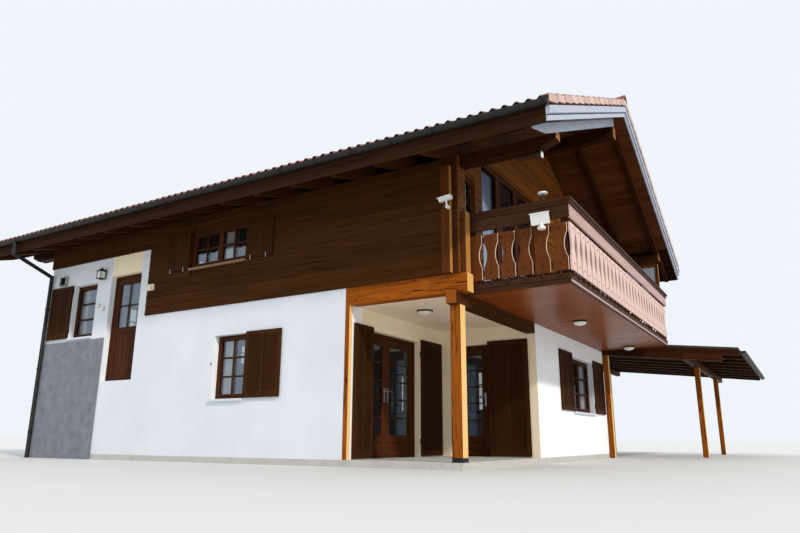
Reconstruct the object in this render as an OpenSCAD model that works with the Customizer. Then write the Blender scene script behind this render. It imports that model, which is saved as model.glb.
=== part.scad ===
/* [House] */
// Width of the house across the gable, outside the masonry
house_w = 7620; // [6800:10:9000]
// Length of the house along the ridge, outside the masonry
house_l = 10050; // [9900:10:12000]
// Thickness of the masonry walls
wall_t = 350; // [250:10:450]
// Thickness of the timber walls of the upper storey
timber_wall_t = 200; // [140:10:240]
// How far the boarding stands proud of the masonry
board_t = 30; // [20:1:45]
// Thickness of the base slab
slab_t = 100; // [60:10:200]
// Clear height of the ground storey
storey_h = 2320; // [2250:10:2600]
// Thickness of the upper floor
upper_floor_t = 200; // [150:10:260]
// Height of the boarding's lower edge above the upper floor's top
boarding_lift = 70; // [40:5:100]
// Height of the timber wall from the boarding's lower edge to the eave purlin
knee_wall_h = 1640; // [1560:10:1900]

/* [Entrance level] */
// Length of the raised rear part along the ridge
rear_part_l = 3300; // [3150:10:3450]
// Height of the entrance floor above the ground
entrance_floor_z = 1480; // [1300:10:1550]
// Thickness of the entrance floor
entrance_floor_t = 180; // [140:10:240]
// Height of the white masonry of the rear part
rear_masonry_h = 4030; // [3950:10:4150]
// Distance from the raised part's start to the entrance doorway
entrance_inset = 240; // [200:10:350]
// Width of the entrance doorway
entrance_w = 940; // [860:10:1000]
// Height of the entrance doorway
entrance_h = 2140; // [2060:10:2200]
// Thickness of the rough render on the plinth
plinth_t = 25; // [15:1:40]
// Height of the rough render above the ground
plinth_h = 2350; // [2200:10:2400]

/* [Loggia] */
// Width of the loggia along the gable
loggia_w = 3030; // [2900:10:3200]
// Depth of the loggia along the side wall
loggia_d = 1900; // [1850:10:2000]
// Side of the square corner post
post_s = 160; // [120:5:200]
// Height of the cross-beam that lies along the gable
cross_beam_h = 180; // [140:5:220]
// How far the beam ends stand out past the post
beam_end = 120; // [60:5:160]
// Side of the post at the end of the side wall
end_post_s = 80; // [60:5:100]
// Distance from the side wall's face to the double door
double_door_x = 650; // [600:10:700]
// Width of the double doorway
double_door_w = 1560; // [1400:10:1600]
// Width of the double door's left leaf with its share of the frame
left_leaf_w = 610; // [560:10:700]
// Distance from the gable to the single doorway
side_door_y = 930; // [900:10:950]
// Width of the single doorway
side_door_w = 780; // [720:10:850]
// Height of the ground-floor doorways above the slab
door_h = 2010; // [1960:10:2080]

/* [Windows] */
// Distance from the gable to the side window
side_window_y = 4040; // [3900:10:4200]
// Width of the side window
side_window_w = 770; // [700:10:900]
// Height of the side window's sill above the ground
side_window_z = 1050; // [950:10:1150]
// Height of the side window
side_window_h = 1100; // [1000:10:1200]
// Distance from the rear wall's face to the hall window
hall_window_inset = 870; // [800:10:950]
// Width of the hall window
hall_window_w = 800; // [700:10:820]
// Height of the hall window
hall_window_h = 1130; // [1000:10:1200]
// Height of the hall window's sill above the entrance floor
hall_window_sill = 940; // [900:10:1000]
// Distance from the gable to the upper side window
upper_window_y = 4140; // [4000:10:4300]
// Width of the upper side window
upper_window_w = 1440; // [1300:10:1500]
// Height of the upper side window's sill above the upper floor
upper_window_sill = 850; // [800:10:900]
// Height of the upper side window
upper_window_h = 710; // [600:10:740]
// Distance from the far side wall's face to the gable window
gable_window_inset = 940; // [900:10:1000]
// Width of the gable window
gable_window_w = 1580; // [1500:10:1600]
// Height of the gable window's sill above the ground
gable_window_z = 950; // [850:10:1050]
// Height of the upper gable's glazing
glazing_h = 2120; // [2000:10:2200]
// Height of the upper gable's glazing above the floor
glazing_lift = 40; // [30:5:60]
// How far the side light's sill is above the other bays' sill
side_light_lift = 260; // [200:10:300]
// Width of the upper gable's side light
side_light_w = 350; // [300:10:400]
// Distance from the side wall's face to the upper gable's wide bays
bay_x = 810; // [780:10:850]
// Width of each bay of the upper gable's glazing
bay_w = 790; // [700:10:800]
// Depth of the window reveals
reveal = 110; // [60:5:150]
// Width of a frame member
frame_w = 60; // [45:1:75]
// Depth of a frame member
frame_d = 70; // [55:1:80]
// Thickness of the glass units
glass_t = 24; // [16:1:30]
// Thickness of a window sill
sill_t = 40; // [25:1:60]
// How far the sills stand out
sill_out = 45; // [20:1:60]

/* [Doors and shutters] */
// Thickness of the door leaves
leaf_t = 60; // [45:1:70]
// Gap round a door leaf
leaf_gap = 6; // [5:1:8]
// Width of a door leaf's stiles
stile_w = 120; // [90:5:140]
// Radius of the hinge pins
pin_r = 8; // [6:1:10]
// Running gap between a hinge pin and its leaf
pin_gap = 0.3; // [0.2:0.1:0.5]
// Height of a hinge pin
pin_h = 90; // [60:5:120]
// Thickness of the shutters
shutter_t = 32; // [25:1:40]
// Gap between a closed shutter and the wall
shutter_gap = 10; // [8:1:15]
// Width of the narrow shutter beside the end post
narrow_shutter_w = 520; // [480:5:530]
// Width of a shutter's stiles and rails
shutter_stile = 75; // [60:1:90]
// Space between the double door's right shutter and the loggia's corner
shutter_corner_gap = 50; // [40:5:120]
// How much taller a door's shutter is than its doorway
shutter_lap = 30; // [20:5:40]
// Width of the hall window's shutter
hall_shutter_w = 740; // [640:5:745]
// Width of the upper window's shutters
upper_shutter_w = 600; // [500:10:650]

/* [Roof] */
// Rise of the roof for each unit across
roof_slope = 0.46; // [0.4:0.01:0.5]
// How far the rafters reach past the side walls
eave_overhang = 960; // [800:10:1100]
// How far the barge boards stand out past the front gable
gable_overhang = 1750; // [1500:10:1900]
// How far the barge boards stand out past the rear gable
rear_overhang = 1200; // [900:10:1400]
// Width of the purlins
purlin_w = 180; // [140:5:220]
// Height of the eave purlins at their outer face
eave_purlin_h = 170; // [140:5:220]
// Height of the ridge purlin at its sides
ridge_purlin_h = 220; // [180:5:260]
// Distance from the masonry's face to the eave purlin
purlin_inset = 20; // [10:1:60]
// How far the purlins stay behind the barge boards
purlin_back = 250; // [200:10:350]
// Width of the rafters
rafter_w = 90; // [70:1:110]
// Height of the rafters, measured upright
rafter_h = 160; // [120:5:200]
// Height of a rafter's tip
rafter_tip_h = 65; // [50:1:80]
// Length over which a rafter's tail tapers
tail_taper = 540; // [400:10:600]
// Distance between rafters in the front overhang
front_rafter_pitch = 750; // [650:10:800]
// Number of rafters between the gables
rafter_count = 14; // [12:1:16]
// Thickness of the roof boarding
deck_t = 27; // [20:1:35]
// Height of the battens and tiles above the boarding
tile_build_up = 290; // [240:10:320]
// Length of roof that each tile course covers
tile_course = 330; // [300:5:380]
// How far each course steps up over the next
tile_step = 22; // [15:1:30]
// Thickness of the tiles at the eave
tile_t = 60; // [40:1:80]
// Outer radius of the ridge tiles
ridge_tile_r = 115; // [90:1:140]
// Wall of the ridge tiles
ridge_tile_t = 18; // [12:1:24]
// Thickness of the barge and fascia boards
barge_t = 28; // [20:1:35]
// Height of the upper barge board
barge_upper_h = 135; // [110:1:160]
// Height of the lower barge board below the upper one
barge_lower_h = 125; // [100:1:150]
// Height of the eave fascia
fascia_h = 280; // [240:5:280]
// Radius of the gutters
gutter_r = 65; // [50:1:80]
// Wall of the gutters
gutter_t = 5; // [3:1:8]
// Radius of the downpipe
downpipe_r = 40; // [35:1:50]

/* [Balcony] */
// Distance from each side wall's face to the balcony's end
balcony_x = 230; // [200:10:300]
// Depth of the balcony in front of the gable
balcony_d = 1530; // [1400:10:1600]
// Thickness of the balcony soffit
soffit_t = 25; // [18:1:30]
// Height of the balcony joists
joist_h = 110; // [90:5:130]
// Width of the balcony joists
joist_w = 100; // [80:5:120]
// Number of balcony joists
joist_count = 8; // [6:1:9]
// Thickness of the balcony floor boards
deck_board_t = 35; // [25:1:45]
// Thickness of the balcony's edge boards
rim_t = 30; // [20:1:40]
// Height of the handrail's top above the balcony floor
rail_h = 1020; // [950:10:1050]
// Width of the handrail cap
cap_w = 150; // [120:5:160]
// Thickness of the handrail cap
cap_t = 70; // [50:1:80]
// Height of the wide board under the cap
top_board_h = 215; // [180:5:240]
// Height of the baluster boards
baluster_h = 670; // [600:10:700]
// Thickness of the baluster boards
baluster_t = 28; // [20:1:35]
// Distance between baluster boards
baluster_pitch = 250; // [220:5:280]
// Gap between baluster boards
baluster_gap = 36; // [25:1:45]
// Depth of the cut in each edge of a baluster board
lens_depth = 32; // [20:1:40]
// Height of the cut in each edge of a baluster board
lens_h = 350; // [300:10:380]
// Side of the rail posts
rail_post_s = 80; // [60:1:100]

/* [Side canopy] */
// Length of the canopy away from the house
canopy_w = 7200; // [5000:100:8000]
// Depth of the canopy along the side wall
canopy_d = 4500; // [4000:100:5000]
// How far the canopy stands out in front of the gable
canopy_front = 2900; // [2500:50:3100]
// Height of the canopy's boarding at its front edge
canopy_z = 2270; // [2200:10:2350]
// Rise of the canopy for each unit of its depth
canopy_slope = 0.11; // [0.08:0.01:0.14]
// Height of the canopy's rafters
canopy_rafter_h = 100; // [80:5:120]
// Side of the canopy's posts
canopy_post_s = 120; // [100:5:140]
// Height of the canopy's beams
canopy_beam_h = 140; // [120:5:160]
// Number of canopy rafters
canopy_rafter_count = 9; // [7:1:10]
// Distance from the canopy's front edge to its front beam
canopy_front_row = 1050; // [900:10:1200]
// Distance from the canopy's rear edge to its rear beam
canopy_rear_row = 350; // [300:10:450]
// Distance from the house's side to the nearer canopy posts
canopy_near_posts = 1900; // [1500:50:2200]
// Distance from the canopy's far end to the farther posts
canopy_far_posts = 1400; // [1000:50:1700]

/* [Hidden] */
$fn = 48;
tail_show = 25;
barge_rise = 160;
rim_drop = 10;
verge_out = 15;
tile_lip = 60;
ceiling_z = slab_t + storey_h;
upper_floor_z = ceiling_z + upper_floor_t;
boarding_z = upper_floor_z + boarding_lift;
knee_top_z = boarding_z + knee_wall_h;
ridge_x = house_w / 2;
rear_part_y = house_l - rear_part_l;
entrance_y = rear_part_y + entrance_inset;
hall_window_y = house_l - hall_window_inset - hall_window_w;
balcony_w = house_w - 2 * balcony_x;
gable_window_x = house_w - gable_window_inset - gable_window_w;
rafter_foot_z = knee_top_z + eave_purlin_h - roof_slope * purlin_inset;
ground_head_z = slab_t + door_h;
joint_gap = 2;
timber_color = "#8a4a1c";
dark_timber = "#4a2d1c";
plaster = "#ece9e2";
shutter_color = "#4b2e20";
metal_color = "#3a3d42";
tile_color = "#a9694f";
stone_color = "#b9b5ab";
white_color = "#f2f1ee";
glass_color = "#9fb8c8";
eave_x = -eave_overhang;
gutter_x = eave_x - barge_t - gutter_r;
fascia_z0 = rafter_top(eave_x) - rafter_tip_h + tail_show;
gutter_drop = 15;
gutter_z = fascia_z0 + fascia_h - gutter_drop;
front_y = -gable_overhang;
rear_y = house_l + rear_overhang;
deck_front_y = front_y + 2 * barge_t;
deck_rear_y = rear_y - 2 * barge_t;

// Height of the rafters' underside and upper side at a distance from the side wall's face
function rafter_under(x) = rafter_foot_z + roof_slope * min(x, house_w - x);
function rafter_top(x) = rafter_under(x) + rafter_h;
function deck_top(x) = rafter_top(x) + deck_t;
function tile_top(x) = deck_top(x) + tile_build_up;

// Places a solid that is drawn from the front left corner of the house
module from_corner() {
    translate([-house_w / 2, -house_l / 2, 0]) children();
}

module block(x, y, z) {
    translate([x[0], y[0], z[0]]) cube([x[1] - x[0], y[1] - y[0], z[1] - z[0]]);
}

// Extrudes an outline drawn in X and Z along Y
module along_y(y) {
    translate([0, y[1], 0]) rotate([90, 0, 0]) linear_extrude(y[1] - y[0]) children();
}

// Extrudes an outline drawn in Y and Z along X
module along_x(x) {
    translate([x[0], 0, 0]) rotate([90, 0, 90]) linear_extrude(x[1] - x[0]) children();
}

// Repeats on the far side of the ridge
module both_slopes() {
    children();
    translate([house_w, 0, 0]) mirror([1, 0, 0]) children();
}

// The lists of windows: [distance along the wall, sill height, width, height]
hall_sill_z = entrance_floor_z + hall_window_sill;
side_windows = [
    [side_window_y, side_window_z, side_window_w, side_window_h],
    [hall_window_y, hall_sill_z, hall_window_w, hall_window_h],
];
upper_sill_z = upper_floor_z + upper_window_sill;
upper_windows = [[upper_window_y, upper_sill_z, upper_window_w, upper_window_h]];
far_window_y = [2600, 4900];
far_windows = [
    [far_window_y[0], side_window_z, side_window_w, side_window_h],
    [far_window_y[1], side_window_z, side_window_w, side_window_h],
    [hall_window_y, hall_sill_z, hall_window_w, hall_window_h],
];
rear_window_x = [1500, 4700];
rear_windows = [
    [rear_window_x[0], hall_sill_z, upper_window_w, hall_window_h],
    [rear_window_x[1], hall_sill_z, upper_window_w, hall_window_h],
];
head_drop = 60;
gable_window_h = ground_head_z - head_drop - gable_window_z;
gable_windows = [[gable_window_x, gable_window_z, gable_window_w, gable_window_h]];
top_window_w = 1000;
top_window_h = 800;
top_window_lift = 450;
rear_top_windows = [[ridge_x - top_window_w / 2, rear_masonry_h + top_window_lift,
                     top_window_w, top_window_h]];

// The glazing of the upper gable: [distance from the side wall, width, sill height, head height]
glazing_sill = upper_floor_z + glazing_lift;
glazing_head = glazing_sill + glazing_h;
side_light_head = knee_top_z - glazing_lift;
side_light_x = timber_wall_t;
side_light_sill = glazing_sill + side_light_lift;
half_glazing = [
    [side_light_x, side_light_w, side_light_sill, side_light_head],
    [bay_x, bay_w, glazing_sill, glazing_head],
    [bay_x + bay_w, bay_w, glazing_sill, glazing_head],
    [bay_x + 2 * bay_w, bay_w, glazing_sill, glazing_head],
];

// Base, floors and walls

module floor_slab() {
    color(stone_color) from_corner() block([0, house_w], [0, house_l], [0, slab_t]);
}

module entrance_floor() {
    color(stone_color) from_corner()
        block([wall_t, house_w - wall_t], [rear_part_y, house_l - wall_t],
              [entrance_floor_z - entrance_floor_t, entrance_floor_z]);
}

module upper_floor() {
    color(plaster) from_corner()
        block([timber_wall_t, house_w - timber_wall_t], [timber_wall_t, rear_part_y],
              [ceiling_z, upper_floor_z]);
}

// Openings through a wall that runs along Y, and through one that runs along X
module cuts_in_side(list, x) {
    for (w = list) block(x, [w[0], w[0] + w[2]], [w[1], w[1] + w[3]]);
}

module cuts_in_gable(list, y) {
    for (w = list) block([w[0], w[0] + w[2]], y, [w[1], w[1] + w[3]]);
}

// A masonry wall along the front part, with the thinner rim that carries the boarding
module front_part_wall(y0, y1) {
    block([0, wall_t], [y0, y1], [slab_t, ceiling_z]);
    block([0, timber_wall_t], [y0, y1], [ceiling_z, boarding_z]);
}

module side_wall_front() {
    color(plaster) from_corner() difference() {
        union() {
            front_part_wall(loggia_d, rear_part_y);
            block([0, wall_t], [rear_part_y, entrance_y], [slab_t, rear_masonry_h]);
            block([0, wall_t], [entrance_y, entrance_y + entrance_w], [slab_t, entrance_floor_z]);
        }
        cuts_in_side([side_windows[0]], [-1, wall_t + 1]);
        block([-1, end_post_s], [loggia_d - 1, loggia_d + end_post_s], [slab_t - 1, boarding_z + 1]);
    }
}

module side_wall_rear() {
    color(plaster) from_corner() difference() {
        block([0, wall_t], [entrance_y + entrance_w, house_l - wall_t], [slab_t, rear_masonry_h]);
        cuts_in_side([side_windows[1]], [-1, wall_t + 1]);
    }
}

module far_side_wall() {
    color(plaster) from_corner() translate([house_w, 0, 0]) mirror([1, 0, 0]) difference() {
        union() {
            front_part_wall(wall_t, rear_part_y);
            block([0, wall_t], [rear_part_y, house_l - wall_t], [slab_t, rear_masonry_h]);
        }
        cuts_in_side(far_windows, [-1, wall_t + 1]);
    }
}

module rear_wall() {
    color(plaster) from_corner() difference() {
        block([0, house_w], [house_l - wall_t, house_l], [slab_t, rear_masonry_h]);
        cuts_in_gable(rear_windows, [house_l - wall_t - 1, house_l + 1]);
    }
}

module loggia_pier_left() {
    color(plaster) from_corner()
        block([wall_t, double_door_x], [loggia_d, loggia_d + wall_t], [slab_t, ceiling_z]);
}

module loggia_pier_corner() {
    color(plaster) from_corner() {
        block([double_door_x + double_door_w, loggia_w + wall_t], [loggia_d, loggia_d + wall_t],
              [slab_t, ceiling_z]);
        block([loggia_w, loggia_w + wall_t], [side_door_y + side_door_w, loggia_d],
              [slab_t, ceiling_z]);
    }
}

module loggia_pier_front() {
    color(plaster) from_corner()
        block([loggia_w, loggia_w + wall_t], [0, side_door_y], [slab_t, ceiling_z]);
}

module door_lintels() {
    color(plaster) from_corner() {
        block([0, wall_t], [entrance_y, entrance_y + entrance_w],
              [entrance_floor_z + entrance_h, rear_masonry_h]);
        block([double_door_x, double_door_x + double_door_w], [loggia_d, loggia_d + wall_t],
              [ground_head_z, ceiling_z]);
        block([loggia_w, loggia_w + wall_t], [side_door_y, side_door_y + side_door_w],
              [ground_head_z, ceiling_z]);
    }
}

module gable_wall_lower() {
    color(plaster) from_corner() difference() {
        block([loggia_w + wall_t, house_w], [0, wall_t], [slab_t, ceiling_z]);
        cuts_in_gable(gable_windows, [-1, wall_t + 1]);
    }
}

module plinth_render() {
    plinth_y = entrance_y + entrance_w + 30;
    color(stone_color) from_corner() difference() {
        block([-plinth_t, house_w + plinth_t], [plinth_y, house_l + plinth_t], [0, plinth_h]);
        block([0, house_w], [plinth_y - 1, house_l], [-1, plinth_h + 1]);
    }
}

// Timber frame of the loggia

module posts() {
    cross_beam_z = ceiling_z - cross_beam_h;
    color(timber_color) {
        from_corner() {
            block([0, post_s], [0, post_s], [slab_t, cross_beam_z]);
            block([0, end_post_s], [loggia_d, loggia_d + end_post_s], [slab_t, boarding_z]);
        }
        canopy_posts();
    }
}

module side_beam() {
    color(timber_color) from_corner()
        block([0, timber_wall_t], [-beam_end, loggia_d], [ceiling_z, boarding_z]);
}

module cross_beam() {
    color(timber_color) from_corner()
        block([-beam_end, loggia_w], [0, post_s], [ceiling_z - cross_beam_h, ceiling_z]);
}

// Boarded timber walls of the upper storey

module side_boarding() {
    color(dark_timber) from_corner() both_slopes() difference() {
        union() {
            block([-board_t, timber_wall_t], [timber_wall_t, rear_part_y], [boarding_z, knee_top_z]);
            block([-board_t, timber_wall_t], [rear_part_y - 1, house_l - timber_wall_t],
                  [rear_masonry_h, knee_top_z]);
            block([-board_t, purlin_inset], [timber_wall_t, house_l - timber_wall_t],
                  [knee_top_z - 1, rafter_under(-board_t)]);
        }
        cuts_in_side(upper_windows, [-board_t - 1, timber_wall_t + 1]);
    }
}

// Outline of a gable in X and Z, from a height up to the rafters' underside
module gable_outline(z0, side) {
    polygon([
        [-side, z0], [house_w + side, z0], [house_w + side, rafter_under(-side)],
        [ridge_x, rafter_under(ridge_x)], [-side, rafter_under(-side)],
    ]);
}

module gable_boarding() {
    color(dark_timber) from_corner() difference() {
        union() {
            along_y([-board_t, timber_wall_t]) gable_outline(boarding_z, board_t);
            block([timber_wall_t, house_w], [0, timber_wall_t], [ceiling_z, boarding_z]);
            along_y([house_l - timber_wall_t, house_l + board_t])
                gable_outline(rear_masonry_h, board_t);
        }
        purlin_shapes();
        cuts_in_gable(gable_glazing(), [-board_t - 1, timber_wall_t + 1]);
        cuts_in_gable(rear_top_windows, [house_l - timber_wall_t - 1, house_l + board_t + 1]);
    }
}

// The glazing of the upper gable, as [distance, sill, width, height], on both sides of the ridge
function gable_glazing() = concat(
    [for (g = half_glazing) [g[0], g[2], g[1], g[3] - g[2]]],
    [for (g = half_glazing) [house_w - g[0] - g[1], g[2], g[1], g[3] - g[2]]]
);

module corner_boards() {
    board_w = 150;
    side_y = 90;
    proud = 80;
    color(timber_color) from_corner() both_slopes() {
        block([-board_t - proud, -board_t], [side_y, side_y + board_w], [boarding_z, knee_top_z]);
        block([0, board_w], [-board_t - proud, -board_t], [boarding_z, knee_top_z]);
    }
}

// Roof

module eave_purlin() {
    y0 = front_y + purlin_back;
    y1 = rear_y - purlin_back;
    x1 = purlin_inset + purlin_w;
    bevel = 230;
    difference() {
        along_y([y0, y1]) polygon([
            [purlin_inset, knee_top_z], [x1, knee_top_z],
            [x1, rafter_under(x1)], [purlin_inset, rafter_under(purlin_inset)],
        ]);
        for (end = [[y0, 1], [y1, -1]])
            along_x([purlin_inset - 1, x1 + 1]) polygon([
                [end[0] - end[1], knee_top_z - 1],
                [end[0] + end[1] * bevel, knee_top_z - 1],
                [end[0] - end[1], knee_top_z + eave_purlin_h * 0.6],
            ]);
    }
}

module ridge_purlin() {
    side_z = rafter_under(ridge_x - purlin_w / 2);
    x0 = ridge_x - purlin_w / 2;
    x1 = ridge_x + purlin_w / 2;
    along_y([front_y + purlin_back, rear_y - purlin_back]) polygon([
        [x0, side_z - ridge_purlin_h], [x1, side_z - ridge_purlin_h], [x1, side_z],
        [ridge_x, rafter_under(ridge_x)], [x0, side_z],
    ]);
}

module purlin_shapes() {
    both_slopes() eave_purlin();
    ridge_purlin();
}

module purlins() {
    color(dark_timber) from_corner() purlin_shapes();
}

rafter_places = concat(
    [for (i = [0 : 1]) front_y + purlin_back + i * front_rafter_pitch],
    [for (i = [0 : rafter_count - 1]) i * (house_l - rafter_w) / (rafter_count - 1)],
    [rear_y - purlin_back - rafter_w]
);

module rafter_outline() {
    tip_x = eave_x;
    taper_x = eave_x + tail_taper;
    end_x = ridge_x - joint_gap / 2;
    polygon([
        [tip_x, rafter_top(tip_x)], [tip_x, rafter_top(tip_x) - rafter_tip_h],
        [taper_x, rafter_under(taper_x)], [end_x, rafter_under(end_x)],
        [end_x, rafter_top(end_x)],
    ]);
}

module rafters() {
    color(dark_timber) from_corner() both_slopes()
        for (y = rafter_places) along_y([y, y + rafter_w]) rafter_outline();
}

module roof_deck() {
    end_x = ridge_x - joint_gap / 2;
    color(timber_color) from_corner() both_slopes()
        along_y([deck_front_y, deck_rear_y]) polygon([
            [eave_x, rafter_top(eave_x)], [end_x, rafter_top(end_x)],
            [end_x, deck_top(end_x)], [eave_x, deck_top(eave_x)],
        ]);
}

// Upper edge of the tiles: each course is a step
function course_points(x0, x1) = [
    for (i = [0 : ceil((x1 - x0) / tile_course) - 1])
        let (a = x0 + i * tile_course, b = min(a + tile_course, x1))
            each [[a, tile_top(a) + tile_step], [b, tile_top(b)]]
];

module roof_tiles() {
    end_x = ridge_x - joint_gap / 2;
    lip_x = eave_x - tile_lip;
    color(tile_color) from_corner() both_slopes() {
        along_y([deck_front_y, deck_rear_y]) polygon([
            [eave_x, deck_top(eave_x)], [end_x, deck_top(end_x)],
            [end_x, deck_top(end_x) + barge_rise], [eave_x, deck_top(eave_x) + barge_rise],
        ]);
        along_y([front_y - verge_out, rear_y + verge_out]) polygon(concat(
            course_points(lip_x, end_x),
            [
                [end_x, deck_top(end_x) + barge_rise], [eave_x, deck_top(eave_x) + barge_rise],
                [eave_x, tile_top(eave_x) - tile_t], [lip_x, tile_top(lip_x) - tile_t],
            ]
        ));
    }
}

// Everything below the tiles' upper edge, to fit the ridge tiles to the courses
module under_tiles() {
    lip_x = eave_x - tile_lip;
    polygon(concat(course_points(lip_x, ridge_x), [[ridge_x, 0], [lip_x, 0]]));
}

module ridge_tiles() {
    z = tile_top(ridge_x) - ridge_tile_r * 0.35;
    color(tile_color) from_corner() difference() {
        along_y([front_y - verge_out, rear_y + verge_out]) translate([ridge_x, z]) difference() {
            circle(r = ridge_tile_r);
            circle(r = ridge_tile_r - ridge_tile_t);
        }
        both_slopes() along_y([front_y - verge_out - 1, rear_y + verge_out + 1]) under_tiles();
    }
}

// One barge board: a strip that follows the slope between two heights over the roof boarding
module barge_board(y, low, high) {
    x0 = eave_x - barge_t;
    along_y(y) polygon([
        [x0, deck_top(x0) + low], [ridge_x, deck_top(ridge_x) + low],
        [ridge_x, deck_top(ridge_x) + high], [x0, deck_top(x0) + high],
    ]);
}

module barge_pair(outer_y, out) {
    inner = outer_y - out * barge_t;
    back = outer_y - out * 2 * barge_t;
    barge_board([min(outer_y, inner), max(outer_y, inner)],
                barge_rise - barge_upper_h, barge_rise);
    barge_board([min(inner, back), max(inner, back)],
                barge_rise - barge_upper_h - barge_lower_h, barge_rise);
}

module roof_edge_boards() {
    color(dark_timber) from_corner() both_slopes() {
        barge_pair(front_y, -1);
        barge_pair(rear_y, 1);
        block([eave_x - barge_t, eave_x], [deck_front_y - 1, deck_rear_y + 1],
              [fascia_z0, fascia_z0 + fascia_h]);
    }
}

// A half-round gutter along Y, closed at both ends
module gutter(x, z, y) {
    difference() {
        translate([x, y[0], z]) rotate([-90, 0, 0]) cylinder(r = gutter_r, h = y[1] - y[0]);
        translate([x, y[0] + gutter_t, z]) rotate([-90, 0, 0])
            cylinder(r = gutter_r - gutter_t, h = y[1] - y[0] - 2 * gutter_t);
        block([x - gutter_r - 1, x + gutter_r + 1], [y[0] - 1, y[1] + 1], [z, z + gutter_r + 1]);
    }
}

// A pipe through a list of points, with a wider socket ball at each bend
module tube(points, r) {
    socket = 4;
    for (i = [0 : len(points) - 2]) {
        a = points[i];
        d = points[i + 1] - a;
        run = norm([d[0], d[1]]);
        translate(a) rotate([0, atan2(run, d[2]), atan2(d[1], d[0])]) cylinder(r = r, h = norm(d));
        if (i > 0) translate(a) sphere(r = r + socket);
    }
}

module downpipe() {
    outlet_y = house_l - 240;
    wall_y = house_l - 65;
    wall_x = -plinth_t - downpipe_r;
    outlet_z = gutter_z - gutter_r + gutter_t;
    neck = 245;
    drop = 535;
    tube([
        [gutter_x, outlet_y, outlet_z], [gutter_x, outlet_y, outlet_z - neck],
        [wall_x, wall_y, outlet_z - drop], [wall_x, wall_y, 0],
    ], downpipe_r);
}

module gutters() {
    color(metal_color) {
        from_corner() both_slopes() {
            gutter(gutter_x, gutter_z, [front_y, rear_y]);
            downpipe();
        }
        canopy_gutter();
    }
}

// Balcony

floor_top = ceiling_z + soffit_t + joist_h + deck_board_t;
balcony_end_x = balcony_x + balcony_w;
inner_x = [balcony_x + rim_t, balcony_end_x - rim_t];
inner_y = [-balcony_d + rim_t, -board_t];
cap_top = floor_top + rail_h;
cap_z = cap_top - cap_t;

module balcony_soffit() {
    color(timber_color) from_corner() block(inner_x, [inner_y[0], 0], [ceiling_z, ceiling_z + soffit_t]);
}

module balcony_frame() {
    z0 = ceiling_z + soffit_t;
    pitch = (inner_x[1] - inner_x[0] - joist_w) / (joist_count - 1);
    color(timber_color) from_corner() {
        for (i = [0 : joist_count - 1])
            block([inner_x[0] + i * pitch, inner_x[0] + i * pitch + joist_w], [inner_y[0], 0],
                  [z0, z0 + joist_h]);
        difference() {
            block([balcony_x, balcony_end_x], [-balcony_d, 0], [ceiling_z - rim_drop, z0 + joist_h]);
            block(inner_x, [inner_y[0], 1], [ceiling_z - rim_drop - 1, z0 + joist_h + 1]);
        }
    }
}

module balcony_deck() {
    color(timber_color) from_corner()
        block(inner_x, inner_y, [floor_top - deck_board_t, floor_top]);
}

// One member of the rail that runs round the balcony's three open sides
module rail_ring(outer, inner, z) {
    difference() {
        block([balcony_x - outer, balcony_end_x + outer], [-balcony_d - outer, -board_t], z);
        block([balcony_x - inner, balcony_end_x + inner], [-balcony_d - inner, 0], [z[0] - 1, z[1] + 1]);
    }
}

module rail_posts() {
    inset = rim_t + rail_post_s;
    for (x = [balcony_x + rim_t, ridge_x - rail_post_s / 2, balcony_end_x - inset])
        block([x, x + rail_post_s], [-balcony_d + rim_t, -balcony_d + inset], [floor_top, cap_z]);
}

module balcony_rail() {
    low_z = floor_top + 60;
    high_z = floor_top + baluster_h - 110;
    slat = 80;
    color(timber_color) from_corner() {
        rail_ring(cap_w / 2, -cap_w / 2, [cap_z, cap_top]);
        rail_ring(baluster_t, -rim_t, [cap_z - slat, cap_z]);
        rail_ring(baluster_t + 6, 0, [cap_z - top_board_h, cap_z]);
        rail_ring(0, -rim_t, [low_z, low_z + slat]);
        rail_ring(0, -rim_t, [high_z, high_z + slat]);
        rail_posts();
    }
}

// A baluster board in X and Z: a strip with a lens cut into each long edge
module baluster_outline() {
    lens_middle = 0.54;
    w = baluster_pitch - baluster_gap;
    r = (lens_h * lens_h / 4 + lens_depth * lens_depth) / (2 * lens_depth);
    difference() {
        translate([-w / 2, 0]) square([w, baluster_h]);
        for (side = [-1, 1])
            translate([side * (w / 2 + r - lens_depth), baluster_h * lens_middle]) circle(r = r, $fn = 180);
    }
}

module balusters_front() {
    first = balcony_x - baluster_t + baluster_pitch / 2;
    count = floor((balcony_w + 2 * baluster_t) / baluster_pitch);
    color(timber_color) from_corner()
        for (i = [0 : count - 1]) translate([first + i * baluster_pitch, 0, floor_top])
            along_y([-balcony_d - baluster_t, -balcony_d]) baluster_outline();
}

module balusters_sides() {
    count = floor(balcony_d / baluster_pitch);
    color(timber_color) from_corner()
        for (x = [balcony_x - baluster_t, balcony_end_x], i = [0 : count - 1])
            translate([0, -balcony_d + (i + 0.5) * baluster_pitch, floor_top])
                along_x([x, x + baluster_t]) baluster_outline();
}

// Wind screen at the balcony's far end: a frame between the handrail and the eave purlin
screen_x = [balcony_end_x, balcony_end_x + frame_w];
screen_y = [-balcony_d + 60, -board_t];

module screen_panes(x) {
    mid_z = cap_top + (knee_top_z - cap_top) * 0.35;
    for (z = [[cap_top + frame_w, mid_z], [mid_z + frame_w, knee_top_z - frame_w]])
        block(x, [screen_y[0] + frame_w, screen_y[1] - frame_w], z);
}

module wind_screen() {
    color(timber_color) from_corner() difference() {
        block(screen_x, screen_y, [cap_top, knee_top_z]);
        screen_panes([screen_x[0] - 1, screen_x[1] + 1]);
    }
}

// Windows

// The panes of one window as [start, end] pairs along the wall
function pane_spans(w, bays) =
    let (pane = (w[2] - (bays + 1) * frame_w) / bays)
        [for (i = [0 : bays - 1])
            let (a = w[0] + frame_w + i * (pane + frame_w)) [a, a + pane]];

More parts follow.
